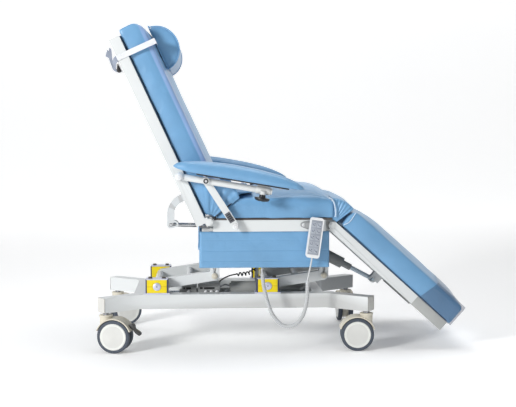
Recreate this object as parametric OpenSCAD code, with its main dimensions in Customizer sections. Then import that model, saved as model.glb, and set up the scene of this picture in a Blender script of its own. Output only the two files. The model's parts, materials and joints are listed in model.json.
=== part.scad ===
// Electrically adjustable treatment chair on a four-castor parallelogram base.
// +X is towards the feet, +Z is up, -Y is the chair's right-hand side.
// The origin is on the floor, below the centre of the whole chair at rest.

/* [Base] */
// Distance between the centre lines of the two base rails
rail_spacing = 380; // [360:5:400]
// Width of a base rail
rail_w = 50; // [46:1:52]
// Height of a base rail
rail_h = 55; // [50:1:56]
// Height of the underside of the base rails
rail_z = 151; // [150:1:156]
// X of the bend where the rear legs splay outwards
rear_bend_x = -546; // [-560:1:-540]
// X of the bend where the front legs splay outwards
front_bend_x = 190; // [180:1:200]
// Length of a rear leg, from its bend to its end
rear_leg = 156; // [150:1:170]
// Length of a front leg, from its bend to its end
front_leg = 180; // [170:1:190]
// Angle by which each leg splays outwards
splay = 35; // [30:1:40]
// Wall thickness of the base tubes
tube_wall = 2.5; // [2:0.5:4]

/* [Castors] */
// Diameter of a castor wheel over its tyre
wheel_d = 125; // [120:1:126]
// Width of one tyre
tyre_w = 20; // [18:1:22]
// Distance from the swivel axis to the axle
trail = 35; // [30:1:38]
// Diameter of the swivel stem
stem_d = 12; // [10:1:14]

/* [Lift] */
// Distance between the pivots of a lift arm
arm_len = 223.5; // [215:0.5:230]
// Angle of the lift arms above the horizontal at rest
arm_rise = 8.5; // [7:0.5:10]
// X of the rear lift shaft
rear_shaft_x = -471; // [-475:1:-465]
// X of the front lift shaft
front_shaft_x = -47; // [-50:1:-45]
// Height of both lift shafts
shaft_z = 236; // [235:1:238]
// Diameter of a lift shaft
shaft_d = 30; // [26:1:32]

/* [Seat] */
// Height of the underside of the seat rails
seat_z = 454; // [452:1:456]
// Height of a seat rail
seat_rail_h = 43; // [40:1:45]
// X of the rear end of the seat rails
seat_x0 = -257; // [-260:1:-250]
// X of the front end of the seat rails
seat_x1 = 165; // [160:1:168]
// Half of the width of the seat and legrest upholstery
half_w = 300; // [290:1:302]

/* [Backrest] */
// Angle of the backrest from the vertical at rest
back_lean = 24.8; // [20:0.1:28]
// Length of the backrest rails above the hinge
back_len = 755; // [700:5:800]
// Half of the width of the backrest cushion
back_half_w = 312; // [305:1:314]
// Thickness of the backrest cushion
back_pad_t = 98; // [85:1:100]

/* [Legrest] */
// Angle of the legrest below the horizontal at rest
leg_drop = 42; // [38:1:44]
// Length of the legrest rails from the hinge
leg_len = 571; // [540:1:580]
// Thickness of the legrest cushion
leg_pad_t = 72; // [60:1:80]

/* [Armrests] */
// Slope of the armrest tubes
arm_slope = 9.5; // [8:0.5:11]
// Length of an armrest tube
arm_tube_len = 344; // [330:1:360]
// Diameter of an armrest tube
arm_tube_d = 24; // [22:1:26]
// Length of an armrest pad
arm_pad_len = 488; // [460:1:500]
// Width of an armrest pad
arm_pad_w = 88; // [80:1:90]

/* [Handset] */
// Width of the handset
handset_w = 51; // [45:1:55]
// Length of the handset
handset_l = 150; // [140:1:160]
// Thickness of the handset
handset_t = 23; // [20:1:24]

/* [Hidden] */
$fn = 64;

// Paint and plastic colours
paint = "whitesmoke";
vinyl = "cornflowerblue";
ivory = [0.86, 0.83, 0.75];
grey = [0.55, 0.57, 0.58];
dark = [0.2, 0.2, 0.22];
bright = "silver";

fit = 0.05;          // radial running clearance of a pivot
open_fit = 0.3;      // radial clearance of the pivot that closes a linkage
over = 1;            // how far a cutting shape runs past a face

// Base
rail_y = rail_spacing / 2;
rail_top = rail_z + rail_h;
tray_t = 3;
tray_z = rail_z + 3;
tray_top = tray_z + tray_t;
rear_cross_x = -540;
front_cross_x = 150;
cross_w = 40;
post_z = 179;        // height of the lift actuator's axis
inner_y = rail_y - rail_w / 2;

// Castors
stem_inset = 18;
wheel_r = wheel_d / 2;
rear_stem = [rear_bend_x - (rear_leg - stem_inset) * cos(splay),
    rail_y + (rear_leg - stem_inset) * sin(splay)];
front_stem = [front_bend_x + (front_leg - stem_inset) * cos(splay),
    rail_y + (front_leg - stem_inset) * sin(splay)];
// Each castor: x, y and the direction in which it trails
CASTORS = [
    [rear_stem[0], -rear_stem[1], -12],
    [rear_stem[0], rear_stem[1], 25],
    [front_stem[0], -front_stem[1], 176],
    [front_stem[0], front_stem[1], 90]
];
web_half = 11;       // half of the width of the housing between the wheels
wheel_gap = 2;       // gap between the housing and a wheel
wheel_in = web_half + wheel_gap;
wheel_out = wheel_in + tyre_w;
hood_r = 69;
hood_inner_r = 65;
hood_z = 84;
collar_r = 23.5;
collar_z = 141;
axle_r = 5;
pedal_pivot = [92, 103];
pedal_half = 19;

// Lift
arm_dx = arm_len * cos(arm_rise);
arm_dz = arm_len * sin(arm_rise);
arm_y = 142;
arm_w = 34;
arm_h = 38;
pivot_z = shaft_z + arm_dz;
pivot_r = 8;
block_w = 76;
block_d = 46;
block_z0 = rail_top + 6;
block_z1 = 262;
lever_len = 60;
lever_angle = 25;
lever_pin = [rear_shaft_x - lever_len * sin(lever_angle), shaft_z - lever_len * cos(lever_angle)];
lever_pin_r = 5;
lever_hole_r = 9;
ear_t = 6;
crank_slot = [18, 10];     // length and direction of the slot that the backrest rod's pin runs in
crank_slot_r = 7;
leg_slot = [7, 175];       // the same for the legrest rod's pin
leg_slot_r = 6;

// Seat
seat_top = seat_z + seat_rail_h;
seat_rail_y0 = 275;
seat_rail_y1 = 297;
cross_z = 465;
seat_rear_cross = rear_shaft_x + arm_dx;
seat_front_cross = front_shaft_x + arm_dx;
seat_mid_cross = 80;
front_cross_shift = 14;  // how far the front cross tube sits behind the front lift pivots
board_t = 6;
hinge = [-271, 493];
leg_hinge = [190, 475];
link_run = 97;
link_pivot = [hinge[0] + link_run, hinge[1] - link_run * tan(arm_slope)];
skirt_x0 = -309;
skirt_x1 = 179;
skirt_z0 = 318;

// Backrest
back_rail_y0 = 306;
back_rail_y1 = 324;
back_ear_r = 13;      // radius of the backrest's hinge ears
back_rail_n0 = -50;
back_rail_n1 = -10;
arm_s = 200;
arm_n = -28;
arm_pivot = [hinge[0] - arm_s * sin(back_lean) + arm_n * cos(back_lean),
    hinge[1] + arm_s * cos(back_lean) + arm_n * sin(back_lean)];
arm_pin_r = 7;
arm_tube_y = 350;
link_y0 = 326;
link_t = 6;
knob_at = [311, -17];

// Backrest actuator, measured from the backrest hinge
crank_pin = [-154, -43];
back_act_y = 45;
back_act_pivot = [80, 436];
back_act_r = 17;
rod_r = 8.75;

// Legrest actuator: its clevis is measured along and across the legrest
leg_clevis = [303, -48.5];
leg_act_y = -45;
leg_act_pivot = [60, 407];
leg_clevis_xz = [leg_hinge[0] + leg_clevis[0] * cos(leg_drop) + leg_clevis[1] * sin(leg_drop),
    leg_hinge[1] - leg_clevis[0] * sin(leg_drop) + leg_clevis[1] * cos(leg_drop)];
leg_act_vec = leg_clevis_xz - leg_act_pivot;
leg_act_angle = atan2(leg_act_vec[1], leg_act_vec[0]);
leg_act_len = norm(leg_act_vec);
back_crank_xz = [hinge[0] + crank_pin[0], hinge[1] + crank_pin[1]];
back_act_vec = back_crank_xz - back_act_pivot;
back_act_angle = atan2(back_act_vec[1], back_act_vec[0]);
back_act_len = norm(back_act_vec);

// Headrest, along and across the backrest
pillow_s = 661;
pillow_r = 84;
pillow_n = 103;
pillow_half = 240;
strap_s = 673;
strap_w = 21;
strap_t = 1.5;

// Handset
handset_c = [120, 433];
handset_tilt = 7.7;
handset_y = -328;
lead_d = 6;
coil_d = 16;
gland_at = [-74, -280.5, 334];

// The handset's lead, and the outer shape of its curly part
LEAD = [[109.5, -328, 357.5], [107, -328, 340], [101, -328, 310], [94, -328, 276]];
COIL = [[94, -328, 276], [93, -328, 240], [90, -327, 190], [76, -325, 140], [50, -322, 108],
    [20, -319, 99], [-10, -315, 111], [-38, -308, 146], [-56, -300, 195], [-66, -292, 240],
    [-71, -285, 275], [-73, -281, 300]];
TAIL = [[-73, -281, 300], [-74, -280, 308], [-74, -280.5, 316], [-74, -280.5, 326]];
// The outer shape of the curly cable beside the lift motor
LIFT_CABLE = [[-240, -22, 205], [-225, -14, 228], [-198, -6, 243], [-165, 0, 251],
    [-130, 4, 252], [-104, 14, 256], [-86, 28, 266], [-76, 44, 280]];
// The plain cables between the control boxes and the lift motor
CABLES = [
    [[-227.5, -96, 190], [-218, -98, 190], [-208, -92, 196], [-200, -76, 202], [-190.5, -66, 204]],
    [[-227.5, -84, 180], [-218, -88, 180], [-208, -82, 184], [-200, -64, 190], [-190.5, -50, 192]],
    [[-227.5, -70, 212], [-220, -70, 216], [-210, -64, 220], [-200, -58, 218], [-190.5, -56, 214]]
];

// ---------- helpers ----------

// A point on a smooth curve through four points of a route
function smooth_point(a, b, c, d, t) =
    0.5 * (2 * b + (c - a) * t + (2 * a - 5 * b + 4 * c - d) * t * t
        + (3 * b - a - 3 * c + d) * t * t * t);

// A route with extra points between its own, on a smooth curve
function smooth_route(p, steps) = let (last = len(p) - 1) concat(
    [for (i = [0:last - 1], k = [0:steps - 1])
        smooth_point(p[max(i - 1, 0)], p[i], p[i + 1], p[min(i + 2, last)], k / steps)],
    [p[last]]);

function unit(v) = v / norm(v);

// Rings of points around a route
function ring_points(p, r, sides) = [for (i = [0:len(p) - 1])
    let (t = unit(p[min(i + 1, len(p) - 1)] - p[max(i - 1, 0)]))
    let (u = unit(cross([0, 1, 0], t)))
    let (v = cross(t, u))
    for (k = [0:sides - 1]) p[i] + r * (u * cos(k * 360 / sides) + v * sin(k * 360 / sides))];

// A closed tube of radius r swept along a route
module sweep(route, r, sides, steps) {
    p = smooth_route(route, steps);
    rings = len(p);
    quads = [for (i = [0:rings - 2], k = [0:sides - 1])
        let (k1 = (k + 1) % sides)
        [i * sides + k, (i + 1) * sides + k, (i + 1) * sides + k1, i * sides + k1]];
    first_cap = [for (k = [0:sides - 1]) k];
    last_cap = [for (k = [sides - 1:-1:0]) (rings - 1) * sides + k];
    polyhedron(ring_points(p, r, sides), concat(quads, [first_cap, last_cap]), convexity = 8);
}

// A cylinder along Y, centred on y
module y_cyl(r, x, z, y, h) {
    translate([x, y + h / 2, z]) rotate([90, 0, 0]) cylinder(r = r, h = h);
}

// A box given by its lowest and highest corners
module box(lo, hi) {
    translate(lo) cube(hi - lo);
}

// A slot along Y: its radius, its start and its length and direction
module y_slot(r, x, z, slot, h) {
    translate([x, 0, z]) rotate([0, -slot[1], 0]) {
        y_cyl(r, 0, 0, 0, h);
        y_cyl(r, slot[0], 0, 0, h);
        box([0, -h / 2, -r], [slot[0], h / 2, r]);
    }
}

// The same thing on both sides of the chair
module both_sides() {
    children();
    mirror([0, 1, 0]) children();
}

// Local frames: Z along the backrest and X out of its front
module on_back() {
    translate([hinge[0], 0, hinge[1]]) rotate([0, -back_lean, 0]) children();
}

// X along the legrest and Z out of its upper face
module on_leg() {
    translate([leg_hinge[0], 0, leg_hinge[1]]) rotate([0, leg_drop, 0]) children();
}

// X along the right-hand armrest tube
module on_arm() {
    translate([arm_pivot[0], -arm_tube_y, arm_pivot[1]]) rotate([0, arm_slope, 0]) children();
}

// X along the trail of castor k, with the swivel axis at the origin
module on_castor(k) {
    translate([CASTORS[k][0], CASTORS[k][1], 0]) rotate([0, 0, CASTORS[k][2]]) children();
}

// ---------- base ----------

// The plan of one rail and its two legs
module rail_plan(w, extra) {
    translate([rear_bend_x, -w / 2]) square([front_bend_x - rear_bend_x, w]);
    translate([rear_bend_x, 0]) circle(d = w);
    translate([front_bend_x, 0]) circle(d = w);
    translate([rear_bend_x, 0]) rotate(180 - splay) translate([0, -w / 2]) square([rear_leg + extra, w]);
    translate([front_bend_x, 0]) rotate(splay) translate([0, -w / 2]) square([front_leg + extra, w]);
}

module base_frame() {
    color(paint) {
        difference() {
            union() {
                both_sides() translate([0, rail_y, rail_z]) linear_extrude(rail_h) rail_plan(rail_w, 0);
                for (x = [rear_cross_x, front_cross_x])
                    box([x - cross_w / 2, -inner_y - over, rail_z], [x + cross_w / 2, inner_y + over, rail_top]);
            }
            both_sides() translate([0, rail_y, rail_z + tube_wall])
                linear_extrude(rail_h - 2 * tube_wall) rail_plan(rail_w - 2 * tube_wall, over);
            for (x = [rear_cross_x, front_cross_x])
                box([x - cross_w / 2 + tube_wall, -rail_y, rail_z + tube_wall],
                    [x + cross_w / 2 - tube_wall, rail_y, rail_top - tube_wall]);
            for (c = CASTORS)
                translate([c[0], c[1], rail_z - over]) cylinder(d = stem_d, h = tube_wall + 2 * over);
        }
        box([-400, -inner_y, tray_z], [front_cross_x - cross_w / 2, inner_y, tray_top]);
        // ears that hold the front end of the lift actuator
        for (y = [-22, 14]) difference() {
            union() {
                box([110, y, tray_top], [front_cross_x - cross_w / 2, y + 8, 197]);
                y_cyl(14, 110, post_z, y + 4, 8);
            }
            y_cyl(6, 110, post_z, y + 4, 8 + 2 * over);
        }
        // strip that holds the end of the curly cable
        box([-84, 51, tray_top], [-68, 54, 292]);
    }
}

module base_end_caps() {
    plug = rail_w - 2 * tube_wall;
    color(grey) both_sides() {
        for (e = [[rear_bend_x, 180 - splay, rear_leg], [front_bend_x, splay, front_leg]])
            translate([e[0], rail_y, rail_z]) rotate([0, 0, e[1]]) {
                box([e[2], -rail_w / 2, 0], [e[2] + 3, rail_w / 2, rail_h]);
                box([e[2] - 6, -plug / 2, tube_wall], [e[2], plug / 2, rail_h - tube_wall]);
            }
    }
}

module castor_stems() {
    color(dark) for (c = CASTORS) translate([c[0], c[1], 0]) {
        translate([0, 0, 104]) cylinder(d = stem_d, h = rail_z + tube_wall - 104);
        translate([0, 0, collar_z + 1]) cylinder(r = 11, h = rail_z - collar_z - 1, $fn = 6);
        translate([0, 0, rail_z + tube_wall]) cylinder(r = 11, h = 8, $fn = 6);
    }
}

module at_blocks() {
    for (x = [rear_shaft_x, front_shaft_x], s = [-1, 1]) translate([x, s * rail_y, 0]) children();
}

module bearing_blocks() {
    color("gold") at_blocks() difference() {
        box([-block_w / 2, -block_d / 2, block_z0], [block_w / 2, block_d / 2, block_z1]);
        y_cyl(shaft_d / 2 + fit, 0, shaft_z, 0, block_d + 2 * over);
    }
}

module bearing_plates() {
    flange = 50;
    side_t = 5;
    color("lavender") at_blocks() {
        box([-flange, -block_d / 2, rail_top], [flange, block_d / 2, block_z0]);
        for (m = [0, 1]) mirror([m, 0, 0])
            box([block_w / 2, -block_d / 2, block_z0], [block_w / 2 + side_t, block_d / 2, block_z1]);
        box([-block_w / 2 - side_t, -block_d / 2, block_z1], [block_w / 2 + side_t, block_d / 2, block_z1 + 4]);
        for (x = [-26, 26])
            translate([x, 0, block_z1 + 4]) cylinder(r = 8, h = 6, $fn = 6);
    }
}

module lift_actuator_body() {
    body_end = -330;
    color(grey) difference() {
        union() {
            // guide tube, gear housing and front eye
            translate([body_end, 0, post_z]) rotate([0, 90, 0]) cylinder(r = 18, h = 330 - 80);
            box([-80, -84, 161], [-8, 26, 216]);
            translate([-10, 0, post_z]) rotate([0, 90, 0]) cylinder(r = 13, h = 106);
            y_cyl(13, 110, post_z, 0, 24);
            // motor beside the guide tube
            translate([-184, -54, 204]) rotate([0, 90, 0]) cylinder(r = 28, h = 106);
            translate([-190, -54, 204]) rotate([0, 90, 0]) cylinder(r = 21, h = 8);
        }
        translate([body_end - over, 0, post_z]) rotate([0, 90, 0]) cylinder(r = rod_r + fit, h = 240);
        y_cyl(6, 110, post_z, 0, 24 + 2 * over);
    }
    color(bright) difference() {
        y_cyl(6, 110, post_z, 0, 52);
        y_cyl(3, 110, post_z, 0, 52 + 2 * over);
    }
}

module control_boxes() {
    for (b = [[-378, -320], [-314, -228]]) {
        color(grey) box([b[0], -118, tray_top], [b[1], -42, 222]);
        color("gainsboro") box([b[0] + 2, -116, 222], [b[1] - 2, -44, 231]);
    }
    // mains inlet on the rear end of the larger supply box
    color(dark) difference() {
        box([-388, -98, 178], [-378, -62, 206]);
        box([-388 - over, -93, 183], [-382, -67, 201]);
    }
}

module base_cables() {
    color("gainsboro") for (c = CABLES) sweep(c, 3, 8, 3);
}

module lift_cable() {
    color(dark) sweep(LIFT_CABLE, 7, 10, 3);
}

// ---------- lift ----------

// A torque shaft with two arms and a stiffening tube
module lift_arms(shaft_x) {
    translate([shaft_x, 0, shaft_z]) {
        y_cyl(shaft_d / 2, 0, 0, 0, 2 * (rail_y + block_d / 2 + 2));
        rotate([0, -arm_rise, 0]) {
            both_sides() difference() {
                union() {
                    box([0, arm_y - arm_w / 2, -arm_h / 2], [arm_len, arm_y + arm_w / 2, arm_h / 2]);
                    y_cyl(arm_h / 2, arm_len, 0, arm_y, arm_w);
                }
                y_cyl(pivot_r + open_fit, arm_len, 0, arm_y, arm_w + 2 * over);
            }
            y_cyl(12, 0.55 * arm_len, 0, 0, 2 * (arm_y - arm_w / 2));
        }
    }
}

module rear_lift_arms() {
    color(paint) {
        lift_arms(rear_shaft_x);
        // lever that the lift actuator pulls
        for (y = [-16, 16]) difference() {
            union() {
                translate([rear_shaft_x, y, shaft_z]) rotate([0, lever_angle, 0])
                    box([-16, -4, -lever_len], [16, 4, -shaft_d / 2 + 3]);
                y_cyl(17, lever_pin[0], lever_pin[1], y, 8);
            }
            y_cyl(lever_hole_r, lever_pin[0], lever_pin[1], y, 8 + 2 * over);
        }
    }
}

module front_lift_arms() {
    color(paint) lift_arms(front_shaft_x);
}

module lift_actuator_rod() {
    color(bright) {
        translate([lever_pin[0] + 10, 0, post_z]) rotate([0, 90, 0]) cylinder(r = rod_r, h = 190);
        y_cyl(13, lever_pin[0], post_z, 0, 18);
        y_cyl(lever_pin_r, lever_pin[0], post_z, 0, 46);
    }
}

// ---------- seat ----------

module seat_frame() {
    color(paint) {
        both_sides() {
            difference() {
                union() {
                    difference() {
                        box([seat_x0, seat_rail_y0, seat_z], [seat_x1, seat_rail_y1, seat_top]);
                        box([seat_x0 - over, seat_rail_y0 + 2, seat_z + 2], [seat_x1 + over, seat_rail_y1 - 2, seat_top - 2]);
                    }
                    // boss that carries the lower pivot of the armrest link
                    box([link_pivot[0] - 14, seat_rail_y0 + 1, seat_z + 1], [link_pivot[0] + 14, seat_rail_y1 - 1, seat_top - 1]);
                    // ears of the backrest hinge and the legrest hinge
                    box([hinge[0], seat_rail_y0 + 8, hinge[1] - 18], [seat_x0 + 30, seat_rail_y1 - 1, hinge[1] + 4]);
                    y_cyl(18, hinge[0], hinge[1], seat_rail_y1 - 7, 14);
                    box([seat_x1 - 60, 262, seat_z + 2], [leg_hinge[0], 275, seat_top - 2]);
                    y_cyl(19, leg_hinge[0], leg_hinge[1], 268.5, 13);
                }
                y_cyl(pivot_r, hinge[0], hinge[1], seat_rail_y1 - 7, 40);
                y_cyl(pivot_r, leg_hinge[0], leg_hinge[1], 268.5, 13 + 2 * over);
                y_cyl(arm_pin_r, link_pivot[0], link_pivot[1], 286, 30);
            }
            // foot of the skirt's hanger
            box([skirt_x0 + 10, 286, seat_z - 60], [skirt_x0 + 40, 289, seat_z + 12]);
            box([skirt_x0 + 10, 286, seat_z + 2], [seat_x0 + 12, 289, seat_z + 12]);
        }
        for (x = [seat_rear_cross, seat_mid_cross, seat_front_cross - front_cross_shift])
            difference() {
                box([x - cross_w / 2, -seat_rail_y0, cross_z], [x + cross_w / 2, seat_rail_y0, seat_top]);
                box([x - cross_w / 2 + 3, -seat_rail_y0 + 3, cross_z - over],
                    [x + cross_w / 2 - 3, seat_rail_y0 - 3, seat_top - 3]);
            }
        // ears that hold the two actuators
        for (a = [[back_act_pivot, back_act_y], [leg_act_pivot, leg_act_y]], s = [-1, 1])
            translate([0, a[1] + s * 19, 0]) difference() {
                union() {
                    box([a[0][0] - 14, -4, a[0][1]], [a[0][0] + 14, 4, cross_z]);
                    y_cyl(14, a[0][0], a[0][1], 0, 8);
                }
                y_cyl(6, a[0][0], a[0][1], 0, 8 + 2 * over);
            }
        // strip that carries the cord's gland
        box([gland_at[0] - 14, -seat_rail_y0 + 0.9, gland_at[2] - 14],
            [gland_at[0] + 14, -seat_rail_y0 + 4, seat_top - 6]);
        box([gland_at[0] - 14, -seat_rail_y0, seat_z + 2], [gland_at[0] + 14, -seat_rail_y0 + 3, seat_top - 6]);
    }
}

module seat_brackets() {
    color(paint) both_sides() for (x = [seat_rear_cross, seat_front_cross], s = [-1, 1])
        translate([x, arm_y + s * (arm_w / 2 + 0.5 + ear_t / 2), 0]) difference() {
            union() {
                box([-18, -ear_t / 2, pivot_z], [18, ear_t / 2, cross_z]);
                y_cyl(18, 0, pivot_z, 0, ear_t);
            }
            y_cyl(pivot_r, 0, pivot_z, 0, ear_t + 2 * over);
        }
}

module seat_pins() {
    ear_half = arm_w / 2 + 0.5 + ear_t;
    color(bright) {
        both_sides() {
            // lift pivots
            for (x = [seat_rear_cross, seat_front_cross]) {
                y_cyl(pivot_r, x, pivot_z, arm_y, 2 * ear_half);
                for (s = [-1, 1]) y_cyl(12, x, pivot_z, arm_y + s * (ear_half + 1.5), 3);
            }
            // backrest hinge, legrest hinge and armrest link
            translate([hinge[0], 0, hinge[1]]) {
                y_cyl(pivot_r, 0, 0, 305.5, 39);
                y_cyl(9, 0, 0, 325, 1.2);
            }
            translate([leg_hinge[0], 0, leg_hinge[1]]) {
                y_cyl(pivot_r, 0, 0, 281.5, 41);
                y_cyl(9, 0, 0, 303.5, 3);
            }
            translate([link_pivot[0], 0, link_pivot[1]]) {
                y_cyl(arm_pin_r, 0, 0, 306, 54);
                y_cyl(11, 0, 0, 333.4, 2);
            }
        }
        y_cyl(6, back_act_pivot[0], back_act_pivot[1], back_act_y, 50);
        y_cyl(6, leg_act_pivot[0], leg_act_pivot[1], leg_act_y, 50);
    }
}

module seat_skirts() {
    color(vinyl) both_sides() box([skirt_x0, 289, skirt_z0], [skirt_x1, 298, seat_z]);
}

module seat_board() {
    color("tan") box([seat_x0 + 4, -half_w + 6, seat_top], [seat_x1 + 24, half_w - 6, seat_top + board_t]);
}

module seat_cushion() {
    z0 = seat_top + board_t;
    color(vinyl) translate([0, half_w, 0]) rotate([90, 0, 0]) linear_extrude(2 * half_w)
        polygon([[-252, z0], [-222, z0 + 32], [-164, z0 + 78], [-60, z0 + 92], [67, z0 + 104],
            [140, z0 + 103], [188, z0 + 86], [200, z0 + 66], [200, z0 + 8], [194, z0]]);
}

// ---------- handset ----------

module handset_hook() {
    color(grey) {
        box([70, -305, 462], [112, -297, 496]);
        box([84, -handset_hook_y(), 468], [112, -305, 486]);
        y_cyl(6, 78, 479, -307, 4);
    }
}

function handset_hook_y() = -handset_y - handset_t / 2;

module on_handset() {
    translate([handset_c[0], handset_y, handset_c[1]]) rotate([0, handset_tilt, 0]) children();
}

module handset_case() {
    w = handset_w / 2;
    l = handset_l / 2;
    t = handset_t / 2;
    color("whitesmoke") on_handset() difference() {
        translate([0, t, 0]) rotate([90, 0, 0]) linear_extrude(handset_t) {
            translate([-w, -l + 10]) square([2 * w, 2 * l - 20]);
            translate([-w + 10, -l]) square([2 * w - 20, 2 * l]);
            for (x = [-1, 1], z = [-1, 1]) translate([x * (w - 10), z * (l - 10)]) circle(r = 10);
        }
        box([-w + 5, -t - over, -l + 12], [w - 5, -t + 2, l - 9]);
    }
}

module handset_keypad() {
    w = handset_w / 2;
    l = handset_l / 2;
    t = handset_t / 2;
    color(grey) on_handset() {
        box([-w + 5, -t + 0.2, -l + 12], [w - 5, -t + 2, l - 9]);
        for (r = [0:4], c = [-1, 1])
            y_cyl(6.5, c * 10, l - 26 - r * 23, -t + 0.2 - 0.6, 1.2);
    }
}

module handset_lead() {
    color("lightgrey") for (route = [LEAD, TAIL]) sweep(route, lead_d / 2, 8, 4);
}

module handset_coil() {
    color("lightgrey") sweep(COIL, coil_d / 2, 10, 3);
}

module cord_gland() {
    color(dark) difference() {
        union() {
            translate([gland_at[0], gland_at[1], gland_at[2] - 12]) cylinder(r = 5.4, h = 24);
            translate([gland_at[0], gland_at[1], gland_at[2] - 4]) cylinder(r = 6.2, h = 6, $fn = 6);
        }
        translate([gland_at[0], gland_at[1], gland_at[2] - 12 - over]) cylinder(r = 3.2, h = 6);
    }
}

// ---------- backrest ----------

module back_frame() {
    rail_c = (back_rail_n0 + back_rail_n1) / 2;
    color(paint) {
        on_back() {
            both_sides() difference() {
                union() {
                    difference() {
                        box([back_rail_n0, back_rail_y0, 2], [back_rail_n1, back_rail_y1, back_len]);
                        box([back_rail_n0 + 2, back_rail_y0 + 2, arm_s + 20],
                            [back_rail_n1 - 2, back_rail_y1 - 2, back_len + over]);
                    }
                    box([back_rail_n1 - 6, back_rail_y0, -back_ear_r], [0, back_rail_y1, 20]);
                    y_cyl(back_ear_r, 0, 0, (back_rail_y0 + back_rail_y1) / 2, back_rail_y1 - back_rail_y0);
                }
                y_cyl(pivot_r + fit, 0, 0, 315, 24);
                y_cyl(arm_pin_r, arm_n, arm_s, 315, 24);
            }
            for (s = [100, 420, 735]) y_cyl(13, rail_c, s, 0, 2 * back_rail_y0);
            // pins that carry the armrests
            both_sides() {
                y_cyl(arm_pin_r, arm_n, arm_s, 335.5, 59);
                y_cyl(13, arm_n, arm_s, 366.5, 3);
            }
        }
        // curved crank that the backrest actuator pulls
        bend = 73;
        bend_c = [back_crank_xz[0] + bend, back_crank_xz[1] + 40];
        translate([0, back_act_y, 0]) for (s = [-1, 1]) translate([0, s * 15, 0]) difference() {
            union() {
                translate([bend_c[0], 4, bend_c[1]]) rotate([90, 0, 0])
                    rotate([0, 0, 90]) rotate_extrude(angle = 90) translate([bend - 14, 0]) square([28, 8]);
                box([bend_c[0] - 1, -4, bend_c[1] + bend - 14], [bend_c[0] + 14, 4, bend_c[1] + bend + 14]);
                box([back_crank_xz[0] - 14, -4, back_crank_xz[1]], [back_crank_xz[0] + 14, 4, bend_c[1] + 1]);
                y_slot(14, back_crank_xz[0], back_crank_xz[1], crank_slot, 8);
            }
            y_slot(crank_slot_r, back_crank_xz[0], back_crank_xz[1], crank_slot, 8 + 2 * over);
        }
    }
}

module back_board() {
    color("tan") on_back() box([back_rail_n1, -back_half_w + 12, 24], [back_rail_n1 + board_t, back_half_w - 12, back_len]);
}

module back_cushion() {
    n0 = back_rail_n1 + board_t;
    n1 = back_pad_t;
    top = back_len + 24;
    color(vinyl) on_back() translate([0, back_half_w, 0]) rotate([90, 0, 0]) linear_extrude(2 * back_half_w)
        polygon([[n0, 22], [n1, 44], [n1, top - 40], [n1 - 10, top - 14], [n1 - 34, top], [n0, top]]);
}

module head_pillow() {
    color(vinyl) on_back() difference() {
        y_cyl(pillow_r, pillow_n - 8, pillow_s, 0, 2 * pillow_half);
        box([0, -pillow_half - over, pillow_s - pillow_r - over], [pillow_n, pillow_half + over, pillow_s + pillow_r + over]);
    }
}

module head_strap() {
    y1 = back_rail_y1 + 1.5;
    n0 = back_rail_n0 - 2;
    n1 = pillow_n - strap_t;
    color("white") on_back() {
        difference() {
            box([n0 - strap_t, -y1 - strap_t, strap_s], [n1 + strap_t, y1 + strap_t, strap_s + strap_w]);
            box([n0, -y1, strap_s - over], [n1, y1, strap_s + strap_w + over]);
        }
        // loose tail that hangs down from the buckle
        box([n0 - 2 * strap_t, -y1 - 1, strap_s - 44], [n0 - strap_t, -y1 + strap_w, strap_s + strap_w]);
    }
}

module strap_buckle() {
    y1 = back_rail_y1;
    n0 = back_rail_n0 - 5;
    color(dark) on_back() difference() {
        box([n0 - 4, -y1 - 2, strap_s - 36], [n0, -y1 + 26, strap_s - 6]);
        for (s = [-31, -18])
            box([n0 - 4 - over, -y1 + 2, strap_s + s], [n0 + over, -y1 + 22, strap_s + s + 7]);
    }
}

// ---------- armrests ----------

module arm_rail() {
    half = arm_tube_d / 2;
    color(paint) on_arm() difference() {
        union() {
            rotate([0, 90, 0]) cylinder(r = half, h = arm_tube_len);
            y_cyl(17, 0, 0, 0, arm_tube_d);
            y_cyl(14, link_run / cos(arm_slope), 0, 0, arm_tube_d);
        }
        translate([130, 0, 0]) rotate([0, 90, 0]) cylinder(r = half - 2, h = arm_tube_len);
        y_cyl(arm_pin_r + fit, 0, 0, 0, arm_tube_d + 2 * over);
        y_cyl(arm_pin_r + open_fit, link_run / cos(arm_slope), 0, 0, arm_tube_d + 2 * over);
    }
}

module arm_pad() {
    half = arm_tube_d / 2;
    shift = -34;
    color(vinyl) on_arm() {
        translate([-28, shift, 24]) linear_extrude(40) {
            translate([arm_pad_w / 2, -arm_pad_w / 2]) square([arm_pad_len - arm_pad_w, arm_pad_w]);
            translate([arm_pad_w / 2, 0]) circle(d = arm_pad_w);
            translate([arm_pad_len - arm_pad_w / 2, 0]) circle(d = arm_pad_w);
        }
    }
    // base plate and the sleeve that slides along the tube
    color(grey) on_arm() {
        box([60, shift - 22, 19], [400, shift + 22, 24]);
        difference() {
            box([285, -30, -16], [337, 14.5, 19]);
            translate([285 - over, 0, 0]) rotate([0, 90, 0]) cylinder(r = half + 0.08, h = 52 + 2 * over);
            translate([knob_at[0], knob_at[1], -16 - over]) cylinder(r = 4 + fit, h = 6);
        }
    }
}

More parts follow.
